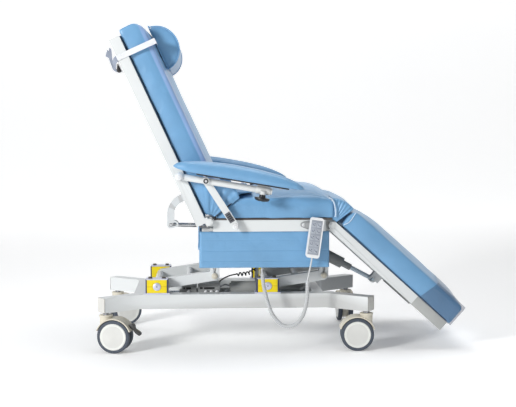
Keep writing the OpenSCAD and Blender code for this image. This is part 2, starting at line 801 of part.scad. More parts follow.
module arm_link() {
    bottom = [link_pivot[0], link_pivot[1]];
    top = [arm_pivot[0] + link_run, arm_pivot[1] - link_run * tan(arm_slope)];
    length = norm(top - bottom);
    lean = atan2(bottom[0] - top[0], top[1] - bottom[1]);
    color(paint) translate([bottom[0], -link_y0, bottom[1]]) rotate([0, -lean, 0]) {
        difference() {
            union() {
                box([-13, -link_t, 0], [13, 0, length]);
                y_cyl(13, 0, 0, -link_t / 2, link_t);
                y_cyl(13, 0, length, -link_t / 2, link_t);
            }
            y_cyl(arm_pin_r + fit, 0, 0, -link_t / 2, link_t + 2 * over);
            box([-5, -link_t - over, 24], [5, over, 60]);
        }
        y_cyl(arm_pin_r, 0, length, -(link_t + 34) / 2, link_t + 34);
        y_cyl(13, 0, length, -link_t - 35.5, 3);
    }
}

module arm_knob() {
    color(dark) on_arm() translate([knob_at[0], knob_at[1], 0]) {
        translate([0, 0, -18]) cylinder(r = 4, h = 6);
        translate([0, 0, -24.5]) cylinder(r = 12, h = 8);
        translate([0, 0, -40]) rotate_extrude()
            polygon([[0, 0], [14, 0], [24, 3], [28, 8], [28, 13], [12, 15.5], [0, 15.5]]);
    }
}

// ---------- actuators ----------

// An electric actuator in its own frame: pivot at the origin, rod along X
module actuator_body(tube_r, tube_x, motor_y, motor_x) {
    difference() {
        union() {
            y_cyl(13, 0, 0, 0, 28);
            rotate([0, 90, 0]) cylinder(r = 11, h = 30);
            box([18, -24, -24], [76, 24, 24]);
            translate([70, 0, 0]) rotate([0, 90, 0]) cylinder(r = tube_r, h = tube_x - 70);
            translate([70, motor_y, -6]) rotate([0, 90, 0]) cylinder(r = 20, h = motor_x);
        }
        translate([80, 0, 0]) rotate([0, 90, 0]) cylinder(r = rod_r + fit, h = tube_x);
        y_cyl(6 + fit, 0, 0, 0, 28 + 2 * over);
    }
}

module actuator_rod(length, retracted) {
    translate([retracted, 0, 0]) rotate([0, 90, 0]) cylinder(r = rod_r, h = length - retracted - 8);
    y_cyl(12, length, 0, 0, 16);
    y_cyl(lever_pin_r, length, 0, 0, 46);
}

module on_back_actuator() {
    translate([back_act_pivot[0], back_act_y, back_act_pivot[1]]) rotate([0, -back_act_angle, 0]) children();
}

module on_leg_actuator() {
    translate([leg_act_pivot[0], leg_act_y, leg_act_pivot[1]]) rotate([0, -leg_act_angle, 0]) children();
}

module back_actuator_body() {
    color(grey) on_back_actuator() actuator_body(back_act_r, 305, 30, 90);
}

module back_actuator_rod() {
    color(bright) on_back_actuator() actuator_rod(back_act_len, 200);
}

module leg_actuator_body() {
    color(grey) on_leg_actuator() {
        actuator_body(13, 266, -32, 90);
        difference() {
            translate([120, 0, 0]) rotate([0, 90, 0]) cylinder(r = 22, h = 108);
            translate([119, 0, 0]) rotate([0, 90, 0]) cylinder(r = 13, h = 110);
        }
    }
}

module leg_actuator_rod() {
    color(bright) on_leg_actuator() actuator_rod(leg_act_len, 190);
}

// ---------- legrest ----------

module leg_frame() {
    y0 = 280;
    y1 = 300;
    color(paint) on_leg() {
        both_sides() difference() {
            union() {
                difference() {
                    box([0, y0, -20], [leg_len, y1, 18]);
                    box([26, y0 + 2, -18], [leg_len + over, y1 - 2, 16]);
                }
                y_cyl(14, 0, 0, 290, 20);
            }
            y_cyl(pivot_r + fit, 0, 0, 290, 20 + 2 * over);
        }
        for (x = [150, 330, 545]) difference() {
            box([x - 16, -y0, -14], [x + 16, y0, 18]);
            box([x - 14, -y0 + 2, -14 - over], [x + 14, y0 - 2, 16]);
        }
        // ears that the legrest actuator pushes
        translate([0, leg_act_y, 0]) for (s = [-1, 1]) translate([0, s * 15, 0]) difference() {
            union() {
                box([leg_clevis[0] - 13, -4, leg_clevis[1]], [leg_clevis[0] + 26, 4, -14]);
                box([leg_clevis[0] + 11, -4, -15], [346, 4, -10]);
                y_cyl(14, leg_clevis[0], leg_clevis[1], 0, 8);
            }
            y_slot(leg_slot_r, leg_clevis[0], leg_clevis[1], [leg_slot[0], leg_slot[1] + leg_drop], 8 + 2 * over);
        }
    }
}

module leg_board() {
    color("tan") on_leg() box([40, -half_w + 6, 18], [leg_len, half_w - 6, 18 + board_t]);
}

module leg_cushion() {
    n0 = 18 + board_t;
    n1 = n0 + leg_pad_t;
    end = leg_len + 16;
    color(vinyl) on_leg() translate([0, half_w, 0]) rotate([90, 0, 0]) linear_extrude(2 * half_w)
        polygon([[34, n0], [30, n0 + 30], [34, n1 - 12], [50, n1], [end - 14, n1], [end, n1 - 14], [end, n0]]);
}

module foot_cover() {
    n1 = 18 + board_t + leg_pad_t;
    end = leg_len + 16;
    t = 1.5;
    y1 = half_w + 1;
    color([0.3, 0.4, 0.6, 0.6]) on_leg() difference() {
        box([430, -y1 - t, -22], [end + 0.5 + t, y1 + t, n1 + 0.5 + t]);
        box([430 - over, -y1, -22 - over], [end + 0.5, y1, n1 + 0.5]);
    }
}

// ---------- castors ----------

module castor_housing(k) {
    color(ivory) on_castor(k) difference() {
        union() {
            intersection() {
                y_cyl(hood_r, trail, wheel_r, 0, 2 * wheel_out + 2);
                box([trail - hood_r - over, -50, hood_z], [trail + hood_r + over, 50, 140]);
            }
            y_cyl(48, trail, wheel_r, 0, 2 * web_half);
            translate([0, 0, 104]) cylinder(r = collar_r, h = collar_z - 104);
        }
        both_sides() y_cyl(hood_inner_r, trail, wheel_r, web_half + 20, 40);
        y_cyl(axle_r + fit, trail, wheel_r, 0, 2 * web_half + 2 * over);
        translate([0, 0, 103.5]) cylinder(r = stem_d / 2 + fit, h = 40);
    }
}

module castor_wheels(k) {
    rim_r = wheel_r - 12.5;
    color("gainsboro") on_castor(k) translate([trail, 0, wheel_r]) {
        y_cyl(axle_r, 0, 0, 0, 2 * wheel_in + 10);
        both_sides() translate([0, wheel_in, 0]) rotate([-90, 0, 0]) rotate_extrude()
            polygon([[axle_r - 1, 0], [rim_r, 0], [rim_r, tyre_w - 1], [rim_r - 5, tyre_w], [rim_r - 8, tyre_w - 2.5],
                [18, tyre_w - 3.5], [14, tyre_w - 1.5], [0, tyre_w - 1], [0, 6], [axle_r - 1, 6]]);
    }
}

module castor_tyres(k) {
    rim_r = wheel_r - 12.5;
    color(grey) on_castor(k) translate([trail, 0, wheel_r]) both_sides()
        translate([0, wheel_in, 0]) rotate([-90, 0, 0]) rotate_extrude()
            polygon([[rim_r, 1], [wheel_r - 5, 1], [wheel_r - 1.5, 2.5], [wheel_r, 6], [wheel_r, tyre_w - 6],
                [wheel_r - 1.5, tyre_w - 2.5], [wheel_r - 5, tyre_w - 1], [rim_r, tyre_w - 1]]);
}

module brake_pedal(k) {
    color(dark) on_castor(k) translate([pedal_pivot[0], 0, pedal_pivot[1]]) {
        translate([0, pedal_half, 0]) rotate([90, 0, 0]) linear_extrude(2 * pedal_half)
            polygon([[6, -2], [14, 4], [26, 2], [31, -10], [31, -30], [25, -34], [19, -24], [12, -14]]);
    }
}

base_frame();
base_end_caps();
castor_stems();
bearing_blocks();
bearing_plates();
lift_actuator_body();
control_boxes();
base_cables();
lift_cable();
rear_lift_arms();
front_lift_arms();
lift_actuator_rod();
seat_frame();
seat_brackets();
seat_pins();
seat_skirts();
seat_board();
seat_cushion();
handset_hook();
cord_gland();
handset_case();
handset_keypad();
handset_lead();
handset_coil();
back_frame();
back_board();
back_cushion();
head_pillow();
head_strap();
strap_buckle();
arm_rail();  // right_arm_rail
arm_pad();  // right_arm_pad
arm_link();  // right_arm_link
arm_knob();  // right_arm_knob
mirror([0, 1, 0]) arm_rail();  // left_arm_rail
mirror([0, 1, 0]) arm_pad();  // left_arm_pad
mirror([0, 1, 0]) arm_link();  // left_arm_link
mirror([0, 1, 0]) arm_knob();  // left_arm_knob
back_actuator_body();
back_actuator_rod();
leg_actuator_body();
leg_actuator_rod();
leg_frame();
leg_board();
leg_cushion();
foot_cover();
castor_housing(0);  // rear_right_castor_housing
castor_wheels(0);  // rear_right_castor_wheels
castor_tyres(0);  // rear_right_castor_tyres
castor_housing(1);  // rear_left_castor_housing
castor_wheels(1);  // rear_left_castor_wheels
castor_tyres(1);  // rear_left_castor_tyres
castor_housing(2);  // front_right_castor_housing
castor_wheels(2);  // front_right_castor_wheels
castor_tyres(2);  // front_right_castor_tyres
castor_housing(3);  // front_left_castor_housing
castor_wheels(3);  // front_left_castor_wheels
castor_tyres(3);  // front_left_castor_tyres
brake_pedal(0);  // rear_right_brake_pedal
brake_pedal(1);  // rear_left_brake_pedal
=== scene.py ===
import json
import math

import bpy
import bmesh
from mathutils import Matrix, Vector, noise


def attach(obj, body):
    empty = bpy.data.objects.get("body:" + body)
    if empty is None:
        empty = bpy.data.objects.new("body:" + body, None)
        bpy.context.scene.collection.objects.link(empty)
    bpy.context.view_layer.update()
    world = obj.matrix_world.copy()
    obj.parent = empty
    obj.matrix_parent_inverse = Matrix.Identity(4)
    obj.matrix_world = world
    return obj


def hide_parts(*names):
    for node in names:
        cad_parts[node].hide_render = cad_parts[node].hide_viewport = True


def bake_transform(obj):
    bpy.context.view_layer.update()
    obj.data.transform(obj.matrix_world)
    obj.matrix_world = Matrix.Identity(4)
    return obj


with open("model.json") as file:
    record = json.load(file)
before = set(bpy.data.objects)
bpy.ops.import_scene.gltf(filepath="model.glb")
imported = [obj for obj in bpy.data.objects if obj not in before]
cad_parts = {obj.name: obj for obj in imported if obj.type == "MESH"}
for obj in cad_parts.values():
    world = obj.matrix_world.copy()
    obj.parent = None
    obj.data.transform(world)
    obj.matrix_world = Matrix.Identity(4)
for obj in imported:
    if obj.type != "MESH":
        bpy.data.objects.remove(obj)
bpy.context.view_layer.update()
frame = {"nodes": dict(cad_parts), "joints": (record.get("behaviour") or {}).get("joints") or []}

scene = bpy.context.scene
nodes = frame["nodes"]
joints = {j["name"]: j for j in frame["joints"]}
MM = 0.001
SIDES = (("right", -1), ("left", 1))
REAR_CORNERS = ("rear_right", "rear_left")
CORNERS = REAR_CORNERS + ("front_right", "front_left")
SHARP_EDGE = math.radians(40)


# ---- local frames, lengths in millimetres ----

def frame_at(origin, x_axis, z_axis):
    x, z = Vector(x_axis).normalized(), Vector(z_axis).normalized()
    y = z.cross(x)
    m = Matrix.Identity(4)
    for i in range(3):
        m[i][0], m[i][1], m[i][2], m[i][3] = x[i], y[i], z[i], origin[i] / MM
    return m


WORLD = Matrix.Identity(4)
hinge = Vector(joints["backrest_recline"]["pos_m"])
hinge.y = 0
up_back = Vector(joints["headrest_slide"]["axis"])
# X out of the front of the backrest, Z along it
BACK = frame_at(hinge, (up_back.z, 0, -up_back.x), up_back)
leg_hinge = Vector(joints["legrest_raise"]["pos_m"])
leg_hinge.y = 0
LEG_SLOPE = math.radians(42)
leg_cos, leg_sin = math.cos(LEG_SLOPE), math.sin(LEG_SLOPE)
# X along the legrest, Z out of its upper face
LEG = frame_at(leg_hinge, (leg_cos, 0, -leg_sin), (leg_sin, 0, leg_cos))
# X along each arm tube, Z up
ARM = {}
for side, s in SIDES:
    axis = Vector(joints[side + "_pad_slide"]["axis"])
    ARM[side] = frame_at(Vector(joints[side + "_armrest_turn"]["pos_m"]), axis, (-axis.z, 0, axis.x))


# ---- mesh helpers ----

def link_object(name, data, body=None):
    o = bpy.data.objects.new(name, data)
    scene.collection.objects.link(o)
    if body:
        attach(o, body)
    return o


def face_outwards(me):
    bm = bmesh.new()
    bm.from_mesh(me)
    bmesh.ops.recalc_face_normals(bm, faces=bm.faces)
    bm.to_mesh(me)
    bm.free()


def mesh_object(name, verts, faces, material, body=None, slot=None, at=WORLD):
    me = bpy.data.meshes.new(name)
    me.from_pydata([at @ Vector(v) * MM for v in verts], [], faces)
    me.update()
    face_outwards(me)
    for p in me.polygons:
        p.use_smooth = True
    me.materials.append(material)
    return link_object(name, me, body)


class Build:
    """Collects simple shapes into one mesh, in millimetres. index picks the material."""

    def __init__(self):
        self.bm = bmesh.new()

    def add(self, verts, faces, index=0, smooth=True):
        vs = [self.bm.verts.new(v) for v in verts]
        for f in faces:
            try:
                face = self.bm.faces.new([vs[i] for i in f])
                face.material_index = index
                face.smooth = smooth
            except ValueError:
                pass

    def add_rounded(self, bm, round_by, index):
        """Adds another mesh with its edges rounded."""
        bmesh.ops.bevel(bm, geom=bm.edges[:], offset=round_by, segments=2, profile=0.5, affect="EDGES")
        bm.verts.index_update()
        self.add([v.co.copy() for v in bm.verts], [tuple(v.index for v in f.verts) for f in bm.faces], index)
        bm.free()

    def lathe(self, profile, centre, axis, sides, index=0):
        """A profile of (radius, height) turned about an axis."""
        a = Vector(axis).normalized()
        u = a.orthogonal().normalized()
        w = a.cross(u)
        c = Vector(centre)
        verts = []
        for r, h in profile:
            for k in range(sides):
                t = 2 * math.pi * k / sides
                verts.append(c + a * h + (u * math.cos(t) + w * math.sin(t)) * max(r, 0.001))
        self.add(verts, ring_faces(len(profile), sides) + end_faces(len(profile), sides), index)

    def block(self, lo, hi, index, round_by):
        """A box with rounded edges. Its two Y values may come in either order."""
        bm = bmesh.new()
        spans = [(lo[0], hi[0]), sorted((lo[1], hi[1])), (lo[2], hi[2])]
        vs = [bm.verts.new((x, y, z)) for x in spans[0] for y in spans[1] for z in spans[2]]
        for f in ((0, 1, 3, 2), (4, 6, 7, 5), (0, 4, 5, 1), (2, 3, 7, 6), (0, 2, 6, 4), (1, 5, 7, 3)):
            bm.faces.new([vs[i] for i in f])
        self.add_rounded(bm, round_by, index)

    def plate(self, outline, y0, y1, index, round_by):
        """A side outline of (x, z) between two heights of Y, with rounded edges."""
        bm = bmesh.new()
        n = len(outline)
        vs = [bm.verts.new((x, y, z)) for y in (y0, y1) for x, z in outline]
        bm.faces.new(vs[:n])
        bm.faces.new(list(reversed(vs[n:])))
        for i in range(n):
            bm.faces.new((vs[i], vs[n + i], vs[n + (i + 1) % n], vs[(i + 1) % n]))
        bmesh.ops.recalc_face_normals(bm, faces=bm.faces)
        self.add_rounded(bm, round_by, index)

    def tube(self, path, radius, sides, index=0, closed=False):
        """A tube along points."""
        pts = [Vector(p) for p in path]
        n = len(pts)
        verts = []
        u = None
        for i in range(n):
            a = pts[(i - 1) % n] if closed or i else pts[0]
            b = pts[(i + 1) % n] if closed or i < n - 1 else pts[-1]
            t = (b - a).normalized()
            u = side_of(t, u)
            w = t.cross(u)
            for k in range(sides):
                q = 2 * math.pi * k / sides
                verts.append(pts[i] + u * math.cos(q) * radius + w * math.sin(q) * radius)
        faces = ring_faces(n, sides, closed)
        if not closed:
            faces += end_faces(n, sides)
        self.add(verts, faces, index)

    def done(self, name, materials, body=None, slot=None, at=WORLD):
        bmesh.ops.recalc_face_normals(self.bm, faces=self.bm.faces)
        me = bpy.data.meshes.new(name)
        self.bm.to_mesh(me)
        self.bm.free()
        me.transform(Matrix.Scale(MM, 4) @ at)
        for m in materials:
            me.materials.append(m)
        me.set_sharp_from_angle(angle=SHARP_EDGE)
        return link_object(name, me, body)


def ring_faces(rings, sides, closed=False):
    """The faces between rings of points, each ring joined to the next."""
    faces = []
    for i in range(rings if closed else rings - 1):
        a, b = i * sides, (i + 1) % rings * sides
        for k in range(sides):
            m = (k + 1) % sides
            faces.append((a + k, a + m, b + m, b + k))
    return faces


def end_faces(rings, sides):
    """The faces that close the first ring and the last one."""
    return [tuple(reversed(range(sides))), tuple((rings - 1) * sides + k for k in range(sides))]


def side_of(t, u):
    """A direction square to t, turned as little as possible from the last one, u."""
    return t.orthogonal().normalized() if u is None else (u - t * u.dot(t)).normalized()


def smooth_path(points, steps):
    """A smooth curve through the points."""
    p = [Vector(q) for q in points]
    last = len(p) - 1
    out = []
    for i in range(last):
        a, b, c, d = p[max(i - 1, 0)], p[i], p[i + 1], p[min(i + 2, last)]
        for k in range(steps):
            t = k / steps
            square = (2 * a - 5 * b + 4 * c - d) * t * t
            cube = (3 * b - a - 3 * c + d) * t ** 3
            out.append(0.5 * (2 * b + (c - a) * t + square + cube))
    return out + [p[-1]]


def resample(points, step):
    """The same line with points a fixed step apart."""
    out, left = [points[0].copy()], step
    for a, b in zip(points, points[1:]):
        d = (b - a).length
        at = 0.0
        while d - at >= left:
            at += left
            out.append(a.lerp(b, at / d))
            left = step
        left -= d - at
    if (points[-1] - out[-1]).length > step * 0.3:
        out.append(points[-1].copy())
    return out


def line_length(points):
    return sum((b - a).length for a, b in zip(points, points[1:]))


LOOP_STEPS = 14  # points in one turn of a coil


def helix(points, radius, turns, ease):
    """A coil of wire around a line. It leaves and joins the line over the length ease."""
    total = line_length(points)
    fine = resample(points, total / (turns * LOOP_STEPS))
    u, out, s = None, [], 0.0
    for i, q in enumerate(fine):
        t = (fine[min(i + 1, len(fine) - 1)] - fine[max(i - 1, 0)]).normalized()
        u = side_of(t, u)
        w = t.cross(u)
        if i:
            s += (q - fine[i - 1]).length
        r = radius * min(1.0, s / ease, max(total - s, 0.0) / ease)
        a = 2 * math.pi * i / LOOP_STEPS
        out.append(q + (u * math.cos(a) + w * math.sin(a)) * r)
    return out


def wire(name, points, diameter, material, body):
    """A curve of one open spline with round section."""
    cu = bpy.data.curves.new(name, "CURVE")
    cu.dimensions = "3D"
    cu.bevel_depth = diameter / 2 * MM
    cu.bevel_resolution = 3
    cu.use_fill_caps = True
    s = cu.splines.new("POLY")
    s.points.add(len(points) - 1)
    for p, q in zip(s.points, points):
        p.co = (q[0] * MM, q[1] * MM, q[2] * MM, 1)
    s.use_smooth = True
    cu.materials.append(material)
    return link_object(name, cu, body)


# ---- materials ----

def srgb(r, g, b):
    def lin(c):
        c /= 255
        return c / 12.92 if c <= 0.04045 else ((c + 0.055) / 1.055) ** 2.4
    return lin(r), lin(g), lin(b), 1.0


def node(tree, kind, **inputs):
    """A new shader node, with the values of its inputs by name."""
    n = tree.nodes.new("ShaderNode" + kind)
    for key, value in inputs.items():
        n.inputs[key.replace("_", " ")].default_value = value
    return n


def surface(name, rgb, rough, grain, blotch, kind="noise", metal=0.0, coat=0.0, sheen=0.0, alpha=1.0,
            wear=None, waves=None, spread=0.06):
    """A material with fine grain, slow changes of colour and roughness, and worn edges.

    grain is (scale, height in mm, strength), blotch (scale, share), wear (colour, where it starts),
    waves (scale, height in mm).
    """
    m = bpy.data.materials.new(name)
    m.use_nodes = True
    tree = m.node_tree
    link = tree.links.new
    shader = tree.nodes["Principled BSDF"]
    for key, value in (("Metallic", metal), ("Coat Weight", coat), ("Coat Roughness", 0.25),
                       ("Sheen Weight", sheen), ("Sheen Roughness", 0.4), ("Alpha", alpha)):
        shader.inputs[key].default_value = value
    base = srgb(*rgb)[:3]
    place = node(tree, "TexCoord").outputs["Object"]
    slow = node(tree, "TexNoise", Scale=blotch[0], Detail=4)
    link(place, slow.inputs["Vector"])
    ramp = node(tree, "ValToRGB")
    share = blotch[1]
    for stop, at, light in zip(ramp.color_ramp.elements, (0.3, 0.7), (1 - share, 1 + share)):
        stop.position = at
        stop.color = [min(1, c * light) for c in base] + [1]
    link(slow.outputs["Fac"], ramp.inputs["Fac"])
    colour = ramp.outputs["Color"]
    if wear:
        worn, start = wear
        bend = node(tree, "NewGeometry")
        edge = node(tree, "ValToRGB")
        edge.color_ramp.elements[0].position = start
        edge.color_ramp.elements[1].position = min(1.0, start + 0.05)
        link(bend.outputs["Pointiness"], edge.inputs["Fac"])
        mix = node(tree, "MixRGB", Color2=srgb(*worn))
        link(edge.outputs["Color"], mix.inputs["Fac"])
        link(colour, mix.inputs["Color1"])
        colour = mix.outputs["Color"]
    link(colour, shader.inputs["Base Color"])
    change = node(tree, "MapRange", To_Min=max(0.02, rough - spread), To_Max=min(1.0, rough + spread))
    link(slow.outputs["Fac"], change.inputs["Value"])
    link(change.outputs["Result"], shader.inputs["Roughness"])
    scale, height, strength = grain
    source, out = place, "Fac"
    if kind == "leather":
        tex = node(tree, "TexVoronoi", Scale=scale)
        tex.feature = "DISTANCE_TO_EDGE"
        out = "Distance"
    elif kind == "brushed":
        tex = node(tree, "TexNoise", Scale=scale)
        stretch = node(tree, "Mapping", Scale=(1, 30, 30))
        link(place, stretch.inputs["Vector"])
        source = stretch.outputs["Vector"]
    elif kind == "weave":
        tex = node(tree, "TexChecker", Scale=scale)
    else:
        tex = node(tree, "TexNoise", Scale=scale, Detail=3)
    link(source, tex.inputs["Vector"])
    bump = node(tree, "Bump", Strength=strength, Distance=height * MM)
    link(tex.outputs[out], bump.inputs["Height"])
    if waves:
        big = node(tree, "TexNoise", Scale=waves[0], Detail=2, Distortion=0.6)
        link(place, big.inputs["Vector"])
        fine = bump
        bump = node(tree, "Bump", Strength=1.0, Distance=waves[1] * MM)
        link(big.outputs["Fac"], bump.inputs["Height"])
        link(fine.outputs["Normal"], bump.inputs["Normal"])
    link(bump.outputs["Normal"], shader.inputs["Normal"])
    return m


HIDE = (900, 0.25, 0.35)
vinyl = surface("blue_vinyl", (110, 159, 199), 0.40, HIDE, (9, 0.05), "leather", coat=0.12, sheen=0.15,
                waves=(13, 4))
# a paler copy of the blue vinyl: a painted highlight on the backrest's front roll near its sides
vinyl_painted_highlight = surface("blue_vinyl_painted_highlight", (132, 162, 204), 0.34, HIDE, (9, 0.05), "leather", coat=0.2,
                     sheen=0.2, waves=(15, 3))
piping = surface("piping", (205, 222, 238), 0.4, HIDE, (20, 0.05), "leather", coat=0.1)
# near-black for a line of painted shadow in the gap between the seat and the backrest's gathers
gap_shadow_black = surface("painted_gap_shadow", (22, 24, 30), 0.6, (700, 0.2, 0.5), (40, 0.2))

# metal and paint
white_paint = surface("white_powder_coat", (218, 221, 221), 0.36, (420, 0.12, 0.35), (4, 0.015),
                      coat=0.25, wear=((196, 197, 196), 0.56))
ENAMEL = (500, 0.1, 0.35)
yellow = surface("yellow_enamel", (236, 212, 6), 0.5, ENAMEL, (25, 0.05), wear=((205, 170, 40), 0.57))
yellow_shade = surface("yellow_shade", (186, 146, 0), 0.5, ENAMEL, (25, 0.08))
zinc = surface("bright_zinc", (190, 192, 205), 0.3, (40, 0.04, 0.4), (30, 0.08), "brushed", metal=0.85)
plate_pale = surface("plate_lilac_zinc", (206, 208, 226), 0.35, (200, 0.1, 0.3), (30, 0.06), metal=0.35)
plate_navy = surface("plate_dark_blue", (52, 56, 92), 0.4, (200, 0.1, 0.4), (30, 0.12))
steel_dark = surface("dark_steel", (96, 92, 84), 0.4, (500, 0.1, 0.4), (40, 0.15), metal=0.6)
chrome = surface("polished_rod", (205, 206, 208), 0.16, (60, 0.02, 0.3), (30, 0.04), "brushed",
                 metal=1.0, spread=0.04)
# pale blue-grey in place of a chrome rod's reflections: a painted reflection for the legrest actuator's rod
rod_painted_reflection = surface("pale_rod_painted_reflection", (198, 214, 226), 0.3, (60, 0.03, 0.3), (18, 0.04), "brushed", coat=0.15)

# moulded plastic
MOULDED = (900, 0.2, 0.5)
POLISHED = (900, 0.12, 0.4)
grey_shell = surface("actuator_shell", (150, 152, 152), 0.48, MOULDED, (12, 0.06),
                     wear=((176, 176, 174), 0.58))
motor_grey = surface("motor_shell", (176, 178, 176), 0.4, MOULDED, (12, 0.06), coat=0.1,
                     wear=((196, 196, 194), 0.58))
cap_grey = surface("end_cap", (208, 207, 202), 0.5, (800, 0.2, 0.5), (20, 0.06),
                   wear=((120, 114, 106), 0.58))
ivory = surface("ivory_nylon", (212, 206, 190), 0.42, (900, 0.15, 0.5), (14, 0.05),
                wear=((190, 182, 164), 0.6))
shell_white = surface("handset_shell", (228, 229, 230), 0.4, (900, 0.15, 0.4), (20, 0.02), coat=0.1,
                      wear=((206, 207, 208), 0.58))
disc = surface("wheel_disc", (214, 214, 210), 0.4, POLISHED, (18, 0.04))
disc_rim = surface("wheel_disc_rim", (226, 227, 222), 0.35, POLISHED, (18, 0.04), coat=0.1)
tyre = surface("tyre_rubber", (72, 79, 90), 0.7, (600, 0.3, 0.7), (25, 0.12), wear=((126, 130, 136), 0.56))
pedal_dark = surface("pedal_nylon", (60, 60, 60), 0.5, (700, 0.3, 0.6), (30, 0.1),
                     wear=((120, 120, 116), 0.57))
black = surface("black_nylon", (24, 24, 27), 0.35, (800, 0.2, 0.5), (30, 0.2), coat=0.2,
                wear=((70, 70, 74), 0.58))
insert_grey = surface("link_insert", (86, 88, 94), 0.5, (800, 0.2, 0.6), (60, 0.14))

# films, cables, webbing and board
FILM = (700, 0.1, 0.4)
CABLE = (1200, 0.08, 0.4)
WEAVE = (900, 0.4, 0.6)
film = surface("keypad_film", (152, 158, 168), 0.45, FILM, (40, 0.07))
film_key = surface("keypad_key", (168, 174, 184), 0.42, FILM, (50, 0.06))
glyph = surface("keypad_mark", (74, 82, 96), 0.5, FILM, (60, 0.1))
sleeve_grey = surface("rail_sleeve", (172, 174, 172), 0.5, FILM, (9, 0.08), coat=0.1)
clear = surface("clear_cover", (70, 82, 112), 0.12, (60, 0.6, 0.4), (8, 0.08), coat=0.5, alpha=0.34,
                spread=0.05)
cable_pale = surface("cable_pale", (202, 204, 205), 0.42, CABLE, (18, 0.05), coat=0.1)
cable_black = surface("cable_dark", (44, 43, 42), 0.45, CABLE, (30, 0.15), coat=0.1)
webbing = surface("webbing", (232, 234, 238), 0.8, WEAVE, (30, 0.05), "weave", sheen=0.3)
strap_shade = surface("webbing_shade", (150, 158, 174), 0.8, WEAVE, (30, 0.08), "weave", sheen=0.3)
# the boards' dark colours are painted shade: their edges give the thin dark lines in the seams between rails
# and cushions
plywood_seam_shade = surface("plywood_painted_seam_shade", (92, 84, 80), 0.7, (9, 0.3, 0.5), (6, 0.18), "brushed")
board_seam_shade = surface("board_painted_seam_shade", (62, 88, 118), 0.6, (500, 0.2, 0.5), (10, 0.12))


# ---- camera ----

cam_data = bpy.data.cameras.new("camera")
cam_data.sensor_width = 36
cam_data.lens = 70.88
cam_data.clip_end = 60
cam = bpy.data.objects.new("camera", cam_data)
scene.collection.objects.link(cam)
cam.location = (-0.2963, -4.066, 0.837)
cam.rotation_euler = (math.radians(90 - 4.21), 0, math.radians(-3.14))
scene.camera = cam


# ---- cords ----

LEAD = [(109.5, -328, 357.5), (107, -328, 340), (101, -328, 310), (94, -328, 276)]
COIL = [(94, -328, 276), (93, -328, 240), (90, -327, 190), (76, -325, 140), (50, -322, 108),
        (20, -319, 99), (-10, -315, 111), (-38, -308, 146), (-56, -300, 195), (-66, -292, 240),
        (-71, -285, 275), (-73, -281, 300)]
TAIL = [(-73, -281, 300), (-74, -280, 308), (-74, -280.5, 316), (-74, -280.5, 326)]
LIFT_CABLE = [(-240, -22, 205), (-225, -14, 228), (-198, -6, 243), (-165, 0, 251),
              (-130, 4, 252), (-104, 14, 256), (-86, 28, 266), (-76, 44, 280)]
CABLES = [
    [(-227.5, -96, 190), (-218, -98, 190), (-208, -92, 196), (-200, -76, 202), (-190.5, -66, 204)],
    [(-227.5, -84, 180), (-218, -88, 180), (-208, -82, 184), (-200, -64, 190), (-190.5, -50, 192)],
    [(-227.5, -70, 212), (-220, -70, 216), (-210, -64, 220), (-200, -58, 218), (-190.5, -56, 214)],
]

COIL_PITCH, LIFT_PITCH = 6.25, 14
lead_line = smooth_path(LEAD, 8)
coil_line = smooth_path(COIL, 12)
tail_line = smooth_path(TAIL, 6)
coil_turns = int(line_length(coil_line) / COIL_PITCH)
coil_wire = helix(coil_line, 5.0, coil_turns, 9)
cord_line = lead_line[:-1] + coil_wire + tail_line[1:]
handset_cord = wire("handset_cord", cord_line, 6, cable_pale, "seat")
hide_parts("handset_lead", "handset_coil")

lift_line = smooth_path(LIFT_CABLE, 10)
coiled = lift_line[31:-8]
loops = helix(coiled, 6.4, int(line_length(coiled) / LIFT_PITCH), 8)
lift_wire = wire("lift_cable_wire", lift_line[:31] + loops + lift_line[-8:], 5.4, cable_black, "base")
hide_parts("lift_cable")

plain_cables = Build()
for c in CABLES:
    plain_cables.tube(smooth_path(c, 8), 3, 12)
plain_cables = plain_cables.done("supply_cables", [cable_pale], "base", "cable_grey")
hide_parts("base_cables")


# ---- soft goods ----

def bake(o):
    """Applies an object's modifiers to its mesh."""
    dg = bpy.context.evaluated_depsgraph_get()
    me = bpy.data.meshes.new_from_object(o.evaluated_get(dg))
    o.modifiers.clear()
    o.data = me


def apply(o, kind, **settings):
    """Gives an object a modifier and applies it."""
    m = o.modifiers.new(kind, kind)
    for key, value in settings.items():
        setattr(m, key, value)
    bpy.context.view_layer.update()
    bake(o)


def soft_solid(name, verts, faces, voxel, rounds):
    """A closed shape in millimetres, remeshed evenly and rounded a little."""
    me = bpy.data.meshes.new(name)
    me.from_pydata([Vector(v) * MM for v in verts], [], faces)
    face_outwards(me)
    o = link_object(name, me)
    apply(o, "REMESH", mode="VOXEL", voxel_size=voxel * MM)
    apply(o, "SMOOTH", factor=0.5, iterations=rounds)
    return o


def prism(profile, half):
    """The corners and faces of a side profile of (x, z) run from -half to half along Y."""
    n = len(profile)
    verts = [(x, -half, z) for x, z in profile] + [(x, half, z) for x, z in profile]
    faces = [tuple(range(n)), tuple(reversed(range(n, 2 * n)))]
    faces += [(i, n + i, n + (i + 1) % n, (i + 1) % n) for i in range(n)]
    return verts, faces


def lofted(stations):
    """Rings of points with capped ends."""
    n = len(stations[0])
    first, last = end_faces(len(stations), n)
    return [p for ring in stations for p in ring], [first] + ring_faces(len(stations), n) + [last]


FAR = 60.0  # the distance given to a point with no seam near it
SEAM_STEP = 6
SEAM_CELL = 24
NEIGHBOURS = [(a, b, c) for a in (-1, 0, 1) for b in (-1, 0, 1) for c in (-1, 0, 1)]


